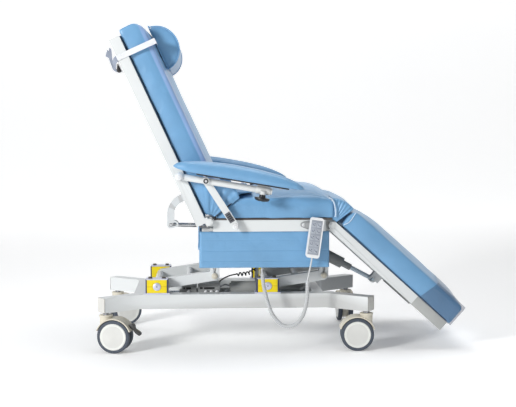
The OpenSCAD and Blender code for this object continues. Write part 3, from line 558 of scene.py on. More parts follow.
class Seams:
    """Lines on a cushion, found again by distance."""

    def __init__(self, lines):
        self.cells = {}
        for line in lines:
            for p in resample([Vector(q) for q in line], SEAM_STEP):
                self.cells.setdefault(self.key(p), []).append(p)

    def key(self, p):
        return tuple(int(math.floor(c / SEAM_CELL)) for c in p)

    def distance(self, p):
        x, y, z = self.key(p)
        best = FAR
        for a, b, c in NEIGHBOURS:
            for q in self.cells.get((x + a, y + b, z + c), ()):
                best = min(best, (p - q).length)
        return best


to_swell = []


def soft(name, solid, voxel, rounds, shape, lines, fixed, body, at, cap, groove, wrinkle, pressure=4.0):
    """A cushion: an even mesh, moved by shape, ready to swell between its seams.

    fixed picks the points held on the board, cap is the most a point may move by swelling,
    and groove and wrinkle are the depths of the seams and of the slow waves.
    """
    o = soft_solid(name, *solid, voxel, rounds)
    seams = Seams(lines)
    hold, dist = [], []
    for v in o.data.vertices:
        p = v.co / MM
        d = seams.distance(p)
        hold.append(1.0 if d < voxel * 0.9 or fixed(p) else 0.0)
        dist.append(d)
        v.co = shape(p) * MM
    g = o.vertex_groups.new(name="hold")
    g.add([i for i, h in enumerate(hold) if h], 1.0, "REPLACE")
    o.data.transform(Matrix.Translation(at.translation * MM) @ at.to_3x3().to_4x4())
    o.data.materials.clear()
    o.data.materials.append(vinyl)
    to_swell.append((o, cap, groove, wrinkle, dist, body, pressure))
    return o


SWELL_FRAMES = 20
GROOVE_WIDTH = 5.5


def swell():
    """Swells all the cushions together by cloth simulation, then finishes each one."""
    start = {}
    for o, cap, groove, wrinkle, dist, body, pressure in to_swell:
        start[o.name] = [v.co.copy() for v in o.data.vertices]
        m = o.modifiers.new("swell", "CLOTH")
        s = m.settings
        s.quality = 4
        s.mass = 0.3
        s.tension_stiffness = s.compression_stiffness = 18
        s.shear_stiffness = 8
        s.bending_stiffness = 0.6
        s.use_pressure = True
        s.uniform_pressure_force = pressure
        s.vertex_group_mass = "hold"
        s.effector_weights.gravity = 0
        m.collision_settings.use_collision = False
        m.point_cache.frame_start = 1
        m.point_cache.frame_end = SWELL_FRAMES
    for f in range(1, SWELL_FRAMES + 1):
        scene.frame_set(f)
    for row in to_swell:
        bake(row[0])
    scene.frame_set(1)
    for o, cap, groove, wrinkle, dist, body, pressure in to_swell:
        me = o.data
        for v, a in zip(me.vertices, start[o.name]):
            d = v.co - a
            if d.length > cap * MM:
                d *= cap * MM / d.length
            v.co = a + d
        me.update()
        normals = [v.normal.copy() for v in me.vertices]
        for v, n, d in zip(me.vertices, normals, dist):
            q = v.co / MM
            ease = min(1.0, d / 30)
            move = -groove * math.exp(-(d / GROOVE_WIDTH) ** 2)
            move += wrinkle * ease * noise.noise(Vector((q.x / 62, q.y / 95, q.z / 62)))
            move += 0.35 * wrinkle * ease * noise.noise(Vector((q.x / 23 + 7, q.y / 31, q.z / 23)))
            v.co += n * move * MM
        for p in me.polygons:
            p.use_smooth = True
        sub = o.modifiers.new("smooth", "SUBSURF")
        sub.levels = sub.render_levels = 1
        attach(o, body)


def both_sides(outline, half):
    """An outline of (x, z) as a line on the right end panel and one on the left."""
    return [[(x, s * half, z) for x, z in outline] for s in (-1, 1)]


def ease_in(t):
    t = max(0.0, min(1.0, t))
    return t * t * (3 - 2 * t)


def along(points, x):
    """The height of a polyline of (x, value) at x."""
    if x <= points[0][0]:
        return points[0][1]
    for (a, va), (b, vb) in zip(points, points[1:]):
        if x <= b:
            return va + (vb - va) * (x - a) / (b - a)
    return points[-1][1]


# seat cushion: side panels with a soft top that rises to the middle
SEAT_HALF = 297
SEAT_EDGE = [(-250, 504), (-224, 532), (-168, 574), (-130, 580), (-60, 582), (67, 585), (140, 584),
             (178, 576), (191, 564), (196, 545), (196, 512), (192, 504)]
SEAT_CROWN = [(-200, 0), (-150, 14), (-60, 30), (67, 38), (120, 36), (165, 27), (190, 12), (197, 4)]


def seat_shape(p):
    lift = along(SEAT_CROWN, p.x) * ease_in((p.z - 530) / 46)
    side = 1 - min(1.0, abs(p.y) / SEAT_HALF) ** 2.6
    front = 4 * ease_in((p.x - 150) / 40) * side
    pull = -5 * ease_in((p.z - 566) / 22) * ease_in((abs(p.y) - 270) / 26)
    y = p.y + (pull if p.y > 0 else -pull)
    return Vector((p.x + front, y, p.z + lift * side))


seat_lines = both_sides(SEAT_EDGE, SEAT_HALF) + [[(178, -SEAT_HALF, 576), (178, SEAT_HALF, 576)]]
seat = soft("seat_upholstery", prism(SEAT_EDGE, SEAT_HALF), 6, 4, seat_shape, seat_lines,
            lambda p: p.z < 509, "seat", WORLD, cap=9, groove=2.2, wrinkle=2.2)
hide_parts("seat_cushion")

# backrest cushion: a long box whose front panel bulges between its seams
BACK_HALF = 309
BACK_TOP = 779
BACK_EDGE = [(-3, 24), (72, 34), (84, 50), (85, 120), (85, 735), (78, 758), (66, 771), (50, BACK_TOP),
             (-3, BACK_TOP - 3)]


def back_shape(p):
    side = 1 - min(1.0, abs(p.y) / BACK_HALF) ** 3
    ends = ease_in((p.z - 40) / 70) * ease_in((772 - p.z) / 60)
    return Vector((p.x + 13 * side * ends * ease_in((p.x - 60) / 24), p.y, p.z))


back_lines = both_sides(BACK_EDGE, BACK_HALF) + both_sides([(68, 34), (68, 762)], BACK_HALF)
back = soft("backrest_upholstery", prism(BACK_EDGE, BACK_HALF), 6.5, 4, back_shape, back_lines,
            lambda p: p.x < 2, "backrest", BACK, cap=7, groove=2.0, wrinkle=1.6)
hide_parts("back_cushion")

# legrest cushion
LEG_HALF = 297
LEG_EDGE = [(27, 25), (23, 50), (23, 74), (27, 90), (38, 98), (60, 100), (120, 101), (572, 101), (584, 97),
            (588, 88), (588, 19), (560, 18.5), (44, 24.5)]


def leg_shape(p):
    side = 1 - min(1.0, abs(p.y) / LEG_HALF) ** 3
    ends = ease_in((p.x - 20) / 110) * ease_in((606 - p.x) / 90)
    return Vector((p.x, p.y, p.z + 24 * side * ends * ease_in((p.z - 60) / 30)))


legrest = soft("legrest_upholstery", prism(LEG_EDGE, LEG_HALF), 6.5, 4, leg_shape,
               both_sides(LEG_EDGE, LEG_HALF), lambda p: p.z < 31, "legrest", LEG,
               cap=6, groove=1.8, wrinkle=1.4)
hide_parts("leg_cushion")

# head pillow: a D-shaped bolster with a welted end panel
PILLOW_HEIGHT, PILLOW_BACK, PILLOW_FRONT, PILLOW_R, PILLOW_HALF = 661, 100, 98, 84, 236
PILLOW_EDGE = [(PILLOW_BACK, PILLOW_HEIGHT - PILLOW_R + 6), (PILLOW_BACK, PILLOW_HEIGHT + PILLOW_R - 6)]
for k in range(17):
    a = math.radians(86 - k * 172 / 16)
    PILLOW_EDGE.append((PILLOW_FRONT + (PILLOW_R - 5) * math.cos(a) * 0.99,
                        PILLOW_HEIGHT + PILLOW_R * math.sin(a)))
pillow = soft("head_pillow_cover", prism(PILLOW_EDGE, PILLOW_HALF), 5, 2, lambda p: p,
              both_sides(PILLOW_EDGE + PILLOW_EDGE[:1], PILLOW_HALF), lambda p: p.x < 106,
              "headrest", BACK, cap=9, groove=2.2, wrinkle=1.6)
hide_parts("head_pillow")

# armrest pads: long boat shapes
ARM_TOP = [(-28, 36), (-22, 46), (-8, 54), (20, 62), (70, 70), (150, 75), (250, 75), (330, 70), (390, 61),
           (430, 50), (450, 40), (459, 31)]
ARM_LOW = [(-28, 34), (-10, 29), (20, 25), (60, 24), (400, 24), (440, 25), (459, 29)]
ARM_WIDE = [(-28, 10), (-22, 22), (-8, 33), (20, 40), (70, 43), (300, 43), (380, 40), (425, 33), (448, 22),
            (459, 8)]
ARM_STATIONS = (-28, -25, -20, -12, 0, 20, 45, 75, 110, 150, 190, 230, 270, 310, 350, 380, 405, 425, 440,
                450, 456, 459)
ARM_SIDES = 28


def arm_rings():
    rings = []
    for x in ARM_STATIONS:
        top, low, w = along(ARM_TOP, x), along(ARM_LOW, x), along(ARM_WIDE, x)
        ring = []
        for k in range(ARM_SIDES):
            a = 2 * math.pi * k / ARM_SIDES
            c, s = math.cos(a), math.sin(a)
            y = w * math.copysign(abs(c) ** 0.62, c)
            up = low + (top - low) * 0.34
            if s >= 0:
                z = up + (top - up) * s ** 0.85
            else:
                z = up - (up - low) * min(1.0, -s * 1.5) ** 0.7
            ring.append((x, y, z))
        rings.append(ring)
    return rings


belt = [[(x, s * along(ARM_WIDE, x), along(ARM_LOW, x) + 4) for x in range(-20, 450, 10)] for s in (-1, 1)]
for side, s in SIDES:
    out = s * 34
    at = ARM[side] @ Matrix.Translation((0, out, 0))
    pad = soft(side + "_armrest_cushion", lofted(arm_rings()), 4.5, 2, lambda p: p, belt,
               lambda p: p.z < 27, side + "_pad", at, cap=4, groove=0.8, wrinkle=0.9, pressure=3.0)
    under = Build()
    under.block((60, out - 22, 19), (400, out + 22, 25.5), 0, 1.2)
    sleeve = [(12.15, 0), (14.2, 0), (14.8, 0.8), (14.8, 51.2), (14.2, 52), (12.15, 52)]
    under.lathe(sleeve, (285, 0, 0), (1, 0, 0), 32, 1)
    under.block((288, -6, 13), (334, 6, 20), 1, 1.5)
    under.lathe([(9, 0), (11, 1), (11, 12), (9, 14)], (311, s * 17, -16), (0, 0, 1), 24, 1)
    under.block((300, s * 12, -12), (322, s * 17, 2), 1, 2.5)
    screw = [(0, 0), (5.5, 0), (5.5, -2.2), (3.5, -3.4), (0, -3.4)]
    for x in (90, 230, 370):
        under.lathe(screw, (x, out + s * 12, 19), (0, 0, 1), 16, 2)
    base = under.done(side + "_armrest_plate", [black, white_paint, zinc], side + "_pad", "black_plastic",
                      ARM[side])
    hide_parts(side + "_arm_pad")

swell()

# the backrest's front roll near each side gets a paler vinyl: a painted highlight where its crown turns
# towards the light
ROLL_X, ROLL_Y = 69, 280
back.data.materials.append(vinyl_painted_highlight)
to_back = BACK.inverted()
for f in back.data.polygons:
    q = to_back @ (f.center / MM)
    f.material_index = 1 if q.x > ROLL_X and abs(q.y) > ROLL_Y else 0


# ---- sewn sheets and trim ----

def sewn(name, rows, thick, body=None):
    """A sheet of vinyl from rows of points, with the area of the cloth in square metres."""
    n = len(rows[0])
    verts = [p for row in rows for p in row]
    faces = []
    for i in range(len(rows) - 1):
        for k in range(n - 1):
            faces.append((i * n + k, i * n + k + 1, (i + 1) * n + k + 1, (i + 1) * n + k))
    o = mesh_object(name, verts, faces, vinyl)
    area = sum(f.area for f in o.data.polygons)
    apply(o, "SOLIDIFY", thickness=thick * MM, offset=0)
    if body:
        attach(o, body)
    return o, area


def rumple(x, y, z, size):
    """Slow waves of about the given size."""
    return noise.noise(Vector((x / size, y / size, z / size)))


def polar(centre, r, phi, y):
    """A point at the radius r and the angle phi about a centre of (x, z)."""
    return centre[0] + r * math.cos(phi), y, centre[1] + r * math.sin(phi)


# skirts: hanging panels with pressed creases and a turned hem
SKIRT_REAR, SKIRT_FRONT, SKIRT_HEM, SKIRT_TOP = -309, 179, 318, 454
SKIRT_COLUMNS, SKIRT_ROWS, SKIRT_ROUND = 122, 68, 9
SKIRT_FACE, SKIRT_BACKING = 289.5, 288.2
CREASES = [(423, 0.5), (383, 1.6), (344, 1.3), (335, 0.6)]  # height and depth of each
for side, s in SIDES:
    rings = []
    for i in range(SKIRT_COLUMNS + 1):
        x = SKIRT_REAR + (SKIRT_FRONT - SKIRT_REAR) * i / SKIRT_COLUMNS
        d = min(x - SKIRT_REAR, SKIRT_FRONT - x, SKIRT_ROUND)
        end = math.sqrt(max(0.0, 1 - ((SKIRT_ROUND - d) / SKIRT_ROUND) ** 2))
        ring = []
        for k in range(SKIRT_ROWS + 1):
            z = SKIRT_TOP - (SKIRT_TOP - SKIRT_HEM) * k / SKIRT_ROWS
            top = min(1.0, 0.25 + (SKIRT_TOP - z) / 7) * min(1.0, 0.2 + (z - 317) / 5)
            crease = sum(w * math.exp(-((z - c) / 1.8) ** 2) for c, w in CREASES)
            dimple = 1.6 * rumple(x, 0, z, 34) * math.exp(-(SKIRT_TOP - z) / 26) + 0.7 * rumple(x, 3, z, 70)
            ring.append((x, s * (SKIRT_FACE + (7.2 + dimple - crease) * math.sqrt(top) * end), z))
        ring += [(x, s * SKIRT_BACKING, SKIRT_HEM), (x, s * SKIRT_BACKING, SKIRT_TOP)]
        rings.append(ring)
    skirt = mesh_object(side + "_skirt_panel", *lofted(rings), vinyl, "seat", "blue_vinyl")
    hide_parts("seat_skirts")

# rear curtain behind the skirts, in two parts with the actuator's rod between them
CURTAIN_X, CURTAIN_TOP, CURTAIN_DROP, CURTAIN_ROWS = -311, 474, 88, 23
for side, s in SIDES:
    rows = []
    for i in range(CURTAIN_ROWS + 1):
        z = CURTAIN_TOP - CURTAIN_DROP * i / CURTAIN_ROWS
        rows.append([(CURTAIN_X + 2.5 * rumple(0, y, z, 46), s * y, z) for y in range(100, 297, 6)])
    flap, area = sewn(side + "_rear_curtain", rows, 2.4, "seat")

# gusset between the seat and the legrest, bent round the legrest's hinge
PX, PZ = leg_hinge.x / MM, leg_hinge.z / MM
GUSSET_R, GUSSET_HALF, GUSSET_ROWS = 102.5, 277, 44
rows = []
for i in range(GUSSET_ROWS + 1):
    t = i / GUSSET_ROWS
    phi = math.radians(90 - 53 * t)
    fold = 1.3 * math.sin(2 * math.pi * 6.3 * t + 0.6)
    near = []
    for k in range(12):
        y = -(287 + fold * math.sin(math.pi * min(1.0, k / 9) * 0.5))
        near.append(polar((PX, PZ), 20 + (GUSSET_R - 28) * k / 11, phi, y))
    near.append(polar((PX, PZ), GUSSET_R - 3, phi, -(283 + 0.6 * fold)))
    top = []
    for k in range(57):
        y = -GUSSET_HALF + 2 * GUSSET_HALF * k / 56
        bulge = 7 * math.sin(math.pi * t) * (1 - abs(y / GUSSET_HALF) ** 4)
        top.append(polar((PX, PZ), GUSSET_R + bulge + 3 * rumple(y, 60 * t, 0, 60), phi, y))
    rows.append(near + top + [(x, -y, z) for x, y, z in reversed(near)])
gusset, area = sewn("seat_front_gusset", rows, 2.2)
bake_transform(gusset)

# gathered strip between the backrest and the seat
HX, HZ = hinge.x / MM, hinge.z / MM
line = smooth_path([(-236, 0, 640), (-222, 0, 612), (-203, 0, 598), (-180, 0, 592), (-150, 0, 599),
                    (-108, 0, 602)], 7)
rows = []
for i, q in enumerate(line):
    a, b = line[max(i - 1, 0)], line[min(i + 1, len(line) - 1)]
    t = (b - a).normalized()
    env = math.sin(math.pi * i / (len(line) - 1)) ** 0.6
    row = []
    for y in range(-290, 291, 4):
        gather = 5.5 * math.sin(2 * math.pi * y / 41 + 1.2 * math.sin(y / 57) + 0.05 * i)
        h = env * (gather + 3 * rumple(y, 8 * i, 5, 26))
        row.append((q.x - t.z * h, y, q.z + t.x * h))
    rows.append(row)
strip, area = sewn("seat_rear_gusset", rows, 2.0)
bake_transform(strip)

# folded fans that close its two sides
FAN_ROWS, FAN_COLUMNS = 60, 14
for side, s in SIDES:
    rows = []
    for i in range(FAN_ROWS + 1):
        t = i / FAN_ROWS
        phi = math.radians(100 - 62 * t)
        fold = 3.4 * math.sin(2 * math.pi * (3.2 * t + 0.5 * t * t)) * math.sin(math.pi * t) ** 0.5
        row = []
        for k in range(FAN_COLUMNS + 1):
            u = k / FAN_COLUMNS
            r = 26 + (118 + 18 * math.sin(math.pi * t)) * k / FAN_COLUMNS
            y = 313.5 - 10.5 * t + fold * u ** 0.7 + 2.2 * rumple(70 * t, r, 9 * s, 21)
            row.append(polar((HX, HZ), r, phi, s * min(y, 318)))
        rows.append(row)
    fan, area = sewn(side + "_side_fan", rows, 1.8)
    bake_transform(fan)


# a dark line of painted shadow in the seat's rear gap, and piping
def edging(name, points, radius, sides, material, body, slot="blue_vinyl", at=WORLD, steps=6, closed=False):
    """Piping along a line, and along its mirror image on the other side."""
    trim = Build()
    for s in (-1, 1):
        trim.tube(smooth_path([(x, s * y, z) for x, y, z in points], steps), radius, sides, closed=closed)
    trim.done(name, [material], body, slot, at)


def at_width(outline, y):
    return [(x, y, z) for x, z in outline]


# a black tube standing for the shadow in the gap at the seat's rear corner: painted shadow, not a binding
edging("seat_gap_shadow_line", [(-262, 303, 500), (-235, 304, 524), (-205, 303.5, 547), (-182, 302, 566),
                        (-164, 298, 583)], 2.0, 10, gap_shadow_black, "seat", "black_plastic")
edging("seat_piping", at_width([(176, 580), (185, 576), (192, 567), (196.5, 556), (200, 540), (201.5, 522),
                                (200, 508)], 297.5), 2.6, 10, piping, "seat")
edging("legrest_piping", at_width([(29, 29), (37, 46), (38, 62), (36, 78), (33, 92)], 299.5), 1.5, 8,
       piping, "legrest", at=LEG)
edging("pillow_welts", at_width(PILLOW_EDGE, PILLOW_HALF + 1), 2.4, 10, vinyl, "headrest", at=BACK,
       steps=3, closed=True)

# clear cover over the foot end, a thin wrinkled film, and the sleeves on the rails below it
FILM_STEPS, FILM_END, FILM_TOP = 40, 590.5, 104
FILM_SIDE = (96, 80, 60, 40, 21)  # heights of the points down each side


def film_x(u, height):
    """How far along the legrest the film is at a height, as u goes from its start to its end."""
    start = 434 + 0.22 * (height - 45)
    return start + (FILM_END - start) * u


def film_side(u, y):
    return [(film_x(u, z), y if z < 95 else y - math.copysign(0.6, y), z) for z in FILM_SIDE]


rings = []
for i in range(FILM_STEPS + 1):
    u = i / FILM_STEPS
    x = film_x(u, FILM_TOP)
    loop = []
    for k in range(61):
        y = -295 + 590 * k / 60
        loop.append((x, y, leg_shape(Vector((x, y, 101))).z + 6 + 1.3 * rumple(x, y, 2, 40)))
    loop += film_side(u, 302.2)
    loop += [(film_x(u, 18), 299 - 598 * k / 20, 17.2) for k in range(21)]
    loop += reversed(film_side(u, -302.2))
    rings.append(loop)
verts, faces = lofted(rings)
cover = mesh_object("foot_cover_film", verts, faces[1:], clear, "legrest", "clear_film", LEG)
cover.data.set_sharp_from_angle(angle=SHARP_EDGE)
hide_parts("foot_cover")
sleeves = Build()
for s in (-1, 1):
    sleeves.block((424, s * 278.6, -22.4), (574, s * 301.6, 17.4), 0, 1.6)
    sleeves.block((423, s * 278.2, -22.8), (426, s * 302.0, 17.8), 0, 0.8)
sleeves.done("rail_sleeves", [sleeve_grey], "legrest", "clear_film", LEG)


# ---- small parts ----

# handset: keypad with raised keys and plain pictograms
HANDSET = Matrix.Translation((120, -328, 433)) @ Matrix.Rotation(math.radians(7.7), 4, "Y")
STROKE_LEAN = (0, 1.2, -1.2, 2, 0.4)
pad = Build()
pad.block((-20.4, -11.4, -62.8), (20.4, -9.3, 65.8), 0, 0.7)
for r, lean in enumerate(STROKE_LEAN):
    for c in (-1, 1):
        x, z = c * 9.8, 49 - r * 24
        pad.block((x - 8, -12.1, z - 8.5), (x + 8, -11.1, z + 8.5), 1, 0.45)
        tip = [(x + 2.5, z - c * 6.2), (x + 5.2, z - c * 2.4), (x - 0.2, z - c * 2.4)]
        pad.add([(a, y, b) for y in (-12.4, -12.0) for a, b in tip],
                [(0, 1, 2), (5, 4, 3), (0, 3, 4, 1), (1, 4, 5, 2), (2, 5, 3, 0)], 2, False)
        stroke = [(-6 + lean, 5), (-4, -1.5), (1, -2), (4, -5 + lean)]
        pad.tube([(x + a, -12.2, z + b) for a, b in stroke], 0.85, 6, 2)
pad = pad.done("handset_keys", [film, film_key, glyph], "seat", "keypad_film", HANDSET)
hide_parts("handset_keypad")

# hook plate with its screw
hook = Build()
bends = [math.radians(a) for a in range(105, 236, 13)]
outline = [(80 + 11 * math.cos(a), 479 + 11 * math.sin(a)) for a in bends]
outline += [(96, 462.5), (112, 462), (112, 496), (98, 495)]
hook.plate(outline, -305, -297, 0, 1.0)
hook.block((84, -316.5, 468), (112, -304.5, 486), 0, 1.2)
hook.lathe([(0, 0), (6.4, 0), (6.4, 1.6), (4.6, 3.4), (0, 4)], (81, -305, 479), (0, -1, 0), 20, 1)
hook.block((77.5, -309.3, 478.4), (84.5, -308.4, 479.6), 2, 0.2)
hook = hook.done("handset_hook_plate", [grey_shell, shell_white, steel_dark], "seat", "actuator_grey")
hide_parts("handset_hook")

# the armrests' caps, and the rings, buttons and ribbed inserts of their links
LINK_TOP, LINK_FOOT = (-283.3, 646.6), (-174, 476.8)
up_link = Vector((LINK_TOP[0] - LINK_FOOT[0], 0, LINK_TOP[1] - LINK_FOOT[1])).normalized()
for side, s in SIDES:
    out = (0, s, 0)
    cap = Build()
    centre = (0, s * 10, 0)
    cap.lathe([(0, 0), (15, 0), (15.2, 2), (14.2, 6), (11, 10), (6, 12.4), (0, 13)], centre, out, 28, 0)
    cap.lathe([(0, -3), (15.8, -3), (15.8, 0.4), (0, 0.4)], centre, out, 28, 1)
    cap.done(side + "_arm_caps", [shell_white, steel_dark], side + "_armrest", "white_paint", ARM[side])
    ring = Build()
    centre = (LINK_TOP[0], s * 369.05, LINK_TOP[1])
    ring.lathe([(4.4, 0), (9.4, 0), (9.4, 1.2), (8.4, 2), (5.4, 2), (4.4, 1.2)], centre, out, 28, 0)
    ring.lathe([(0, 1.2), (4.6, 1.2), (4.4, 1.9), (0, 2.3)], centre, out, 24, 1)
    ring.done(side + "_link_ring", [black, shell_white], side + "_link", "black_plastic")
    button = Build()
    centre = (LINK_FOOT[0], s * 334.2, LINK_FOOT[1])
    button.lathe([(0, 0), (11, 0), (11.2, 1), (10, 3.4), (6, 4.6), (0, 5)], centre, out, 28, 0)
    button.done(side + "_link_button", [shell_white], "seat", "white_paint")
    foot = Vector((LINK_FOOT[0], s * 332, LINK_FOOT[1]))
    along_link = frame_at(foot * MM, (up_link.z, 0, -up_link.x), up_link)
    insert = Build()
    insert.block((-10.2, s * -0.2, 20), (10.2, s * 1.1, 60), 0, 0.4)
    for h in (26, 34, 42, 50):
        insert.block((-7, s * 0.9, h), (7, s * 1.6, h + 3), 1, 0.3)
    insert.done(side + "_link_insert", [insert_grey, black], side + "_link", "actuator_grey", along_link)

# ends of the torque shafts, the split line across each bearing block, and the lift pivots' domed ends
SHAFTS, SHAFT_HEIGHT = (("rear", -471), ("front", -47)), 236
ARM_LENGTH, ARM_RISE = 223.5, math.radians(8.5)
PIVOT_Y = 168.4  # the outer faces of the pivot pins
split = Build()
domes = Build()
for name, x in SHAFTS:
    pivot_x, pivot_z = x + ARM_LENGTH * math.cos(ARM_RISE), SHAFT_HEIGHT + ARM_LENGTH * math.sin(ARM_RISE)
    for side, s in SIDES:
        out = (0, s, 0)
        end = Build()
        centre = (x, s * 214.9, SHAFT_HEIGHT)
        end.lathe([(0, 0), (14.8, 0), (14.8, 0.8), (13.8, 1.6), (0, 1.6)], centre, out, 32, 0)
        end.lathe([(0, 1.4), (2.4, 1.4), (2.4, 1.9), (0, 1.9)], centre, out, 12, 1)
        end.done(name + "_" + side + "_shaft_end", [plate_pale, steel_dark], name + "_arms", "zinc")
        for a, b in ((-37.6, -16.5), (16.5, 37.6)):
            split.block((x + a, s * 212.9, 235.3), (x + b, s * 213.3, 236.7), 0, 0.1)
        centre = (pivot_x, s * PIVOT_Y, pivot_z)
        domes.lathe([(0, 0), (12, 0), (12.2, 1), (11, 4), (7, 6.4), (0, 7.2)], centre, out, 24, 0)
split.done("block_split_lines", [yellow_shade], "base", "yellow_paint")
domes.done("lift_pivot_domes", [ivory], "seat", "zinc")

# round plugs and cable ends on the supply boxes
plugs = Build()
for x in (-352, -284, -262, -240):
    centre = (x, -117.6, 200)
    out = (0, -1, 0)
    plugs.lathe([(0, 0), (7.5, 0), (7.5, 3), (6, 4), (6, 11), (4, 12.5), (0, 12.5)], centre, out, 20, 0)
    plugs.lathe([(8.4, 0), (8.4, 1.2), (0, 1.2), (0, 0)], centre, out, 20, 1)
for x0, x1 in ((-372, -366), (-361, -342), (-308, -296), (-292, -250)):
    plugs.block((x0, -118.8, 211), (x1, -117.8, 218), 1, 0.3)
plugs.block((-376, -116, 186), (-322, -42.5, 187.2), 1, 0.3)
plugs.done("supply_plugs", [shell_white, black], "base", "actuator_grey")


# castors: covers in the wheels, a flared collar round each stem, and the brake levers
WHEEL_COVER = [(0, 30), (41.6, 30), (41.6, 31.9), (40.6, 32.6), (39.4, 32.6), (12, 33.4), (0, 33.6)]
WHEEL_RIM = [(43.5, 32.4), (45.5, 33.2), (47.5, 33.2), (48.6, 32.2), (45.5, 32)]
COLLAR = [(19, 134), (25, 134.6), (26, 137), (25.6, 141), (24, 142), (19, 142)]
STEM_NUT = [(6.4, 142), (10.5, 142), (10.5, 146), (6.4, 146)]
LEVER = [(88, 98), (88, 107), (97, 110), (105, 110), (111, 106), (114, 92), (120, 86), (132, 79), (136, 74),
         (135, 68), (129, 66), (117, 73), (109, 83), (100, 93)]
TREAD = [(113, 88), (120, 83.5), (131, 77), (133, 79.6), (121, 87.5), (115, 91.5)]
AXLE = (35, 0, 62.5)


def castor_frame(corner):
    """X from the stem to the axle, Z up, with the origin on the floor under the stem."""
    stem = Vector(joints[corner + "_swivel"]["pos_m"])
    axle = Vector(joints[corner + "_roll"]["pos_m"])
    return frame_at(Vector((stem.x, stem.y, 0)), (axle.x - stem.x, axle.y - stem.y, 0), (0, 0, 1))


for corner in CORNERS:
    at = castor_frame(corner)
    cover = Build()
    for s in (-1, 1):
        cover.lathe(WHEEL_COVER, AXLE, (0, s, 0), 48, 0)
        cover.lathe(WHEEL_RIM, AXLE, (0, s, 0), 48, 1)
    cover.done(corner + "_wheel_covers", [disc, disc_rim], corner + "_wheels", "wheel_plastic", at)
    collar = Build()
    collar.lathe(COLLAR, (0, 0, 0), (0, 0, 1), 32, 0)
    collar.lathe(STEM_NUT, (0, 0, 0), (0, 0, 1), 24, 1)
    collar.done(corner + "_castor_collar", [ivory, zinc], corner + "_castor", "ivory_plastic", at)
for corner in REAR_CORNERS:
    lever = Build()
    lever.plate(LEVER, -11, 11, 0, 2.4)
    lever.plate(TREAD, -7.5, 7.5, 1, 0.6)
    lever = lever.done(corner + "_brake_lever", [pedal_dark, steel_dark], corner + "_pedal", "pedal_plastic",
                       castor_frame(corner))
    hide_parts(corner + "_brake_pedal")


# strap end: it turns round the rail into the buckle, and its tail stands out behind
RIBBONS = [
    [((-52, -327, 694), (-52, -327, 673)), ((-62, -326, 689), (-60, -326, 668)),
     ((-74, -322, 676), (-66, -320, 660)), ((-82, -318, 662), (-71, -317, 652)),
     ((-80, -315, 648), (-67, -315, 645)), ((-70, -313, 636), (-60, -313, 642))],
    [((-81, -322, 664), (-73, -320, 668)), ((-79, -324, 688), (-67, -322, 690)),
     ((-73, -325, 708), (-61, -323, 706)), ((-60, -325, 730), (-55, -324, 722))],
    [((-60, -322, 712), (-72, -322, 686)), ((-66, -323, 719), (-79, -323, 698)),
     ((-70, -324, 726), (-86, -324, 708))],
]
STRAP_THICK = 1.5


def ribbon(build, pairs):
    """A strap whose two edges run through the pairs of points."""
    left = smooth_path([a for a, b in pairs], 5)
    right = smooth_path([b for a, b in pairs], 5)
    verts = []
    for i in range(len(left)):
        j, k = min(i + 1, len(left) - 1), max(i - 1, 0)
        n = (left[j] - left[k]).cross(right[i] - left[i])
        n = n.normalized() * STRAP_THICK / 2
        verts += [left[i] + n, right[i] + n, right[i] - n, left[i] - n]
    build.add(verts, ring_faces(len(left), 4) + end_faces(len(left), 4))


tail = Build()
for pairs in RIBBONS:
    ribbon(tail, pairs)
tail.done("strap_tail", [strap_shade], "headrest", "webbing", BACK)
buckle = Build()
buckle.plate([(-72, 640), (-68, 634), (-58, 633), (-54, 640), (-55, 655), (-60, 660), (-67, 654)],
             -326, -301, 0, 1.6)
buckle.block((-62, -322, 652), (-56.5, -305, 664), 1, 1.0)
buckle = buckle.done("strap_slider", [black, steel_dark], "headrest", "black_plastic", BACK)
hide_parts("strap_buckle")


# ---- finish of the CAD pieces ----

def finish_node(name, material, bevel):
    """Gives a CAD piece its material, rounded edges and smooth shading."""
    o = nodes[name]
    o.data.materials.clear()
    o.data.materials.append(material)
    if "custom_normal" in o.data.attributes:
        o.data.attributes.remove(o.data.attributes["custom_normal"])
    w = o.modifiers.new("join", "WELD")
    w.merge_threshold = 0.00002
    b = o.modifiers.new("edge", "BEVEL")
    b.width = bevel * MM
    b.segments = 2
    b.limit_method = "ANGLE"
    b.angle_limit = math.radians(35)
    b.harden_normals = False
    for p in o.data.polygons:
        p.use_smooth = True
    o.modifiers.new("normals", "WEIGHTED_NORMAL").keep_sharp = True


# material, radius of the edges, pieces
FINISH = [
    (white_paint, 3.0, "base_frame"),
    (white_paint, 2.0, "rear_lift_arms front_lift_arms"),
    (white_paint, 1.8, "back_frame"),
    (white_paint, 1.6, "seat_frame leg_frame"),
    (white_paint, 1.2, "seat_brackets"),
    (white_paint, 1.0, "right_arm_rail left_arm_rail"),
    (white_paint, 0.8, "right_arm_link left_arm_link"),
    (white_paint, 0.6, "seat_pins"),
    (cap_grey, 2.0, "base_end_caps"),
    (steel_dark, 0.6, "castor_stems"),
    (yellow, 1.6, "bearing_blocks"),
    (plate_pale, 0.8, "bearing_plates"),
    (motor_grey, 1.5, "lift_actuator_body"),
    (grey_shell, 2.0, "control_boxes"),
    (grey_shell, 1.5, "back_actuator_body leg_actuator_body"),
    (chrome, 0.6, "lift_actuator_rod back_actuator_rod"),
    # the legrest actuator's rod: chrome shown as a pale blue-grey painted reflection
    (rod_painted_reflection, 0.6, "leg_actuator_rod"),
    # boards darkened as painted shade for the seams between the rails and the cushions
    (plywood_seam_shade, 1.0, "seat_board"),
    (board_seam_shade, 1.0, "back_board leg_board"),
    (black, 0.5, "cord_gland"),
    (black, 0.8, "right_arm_knob left_arm_knob"),
    (shell_white, 1.5, "handset_case"),
    (webbing, 0.4, "head_strap"),
]
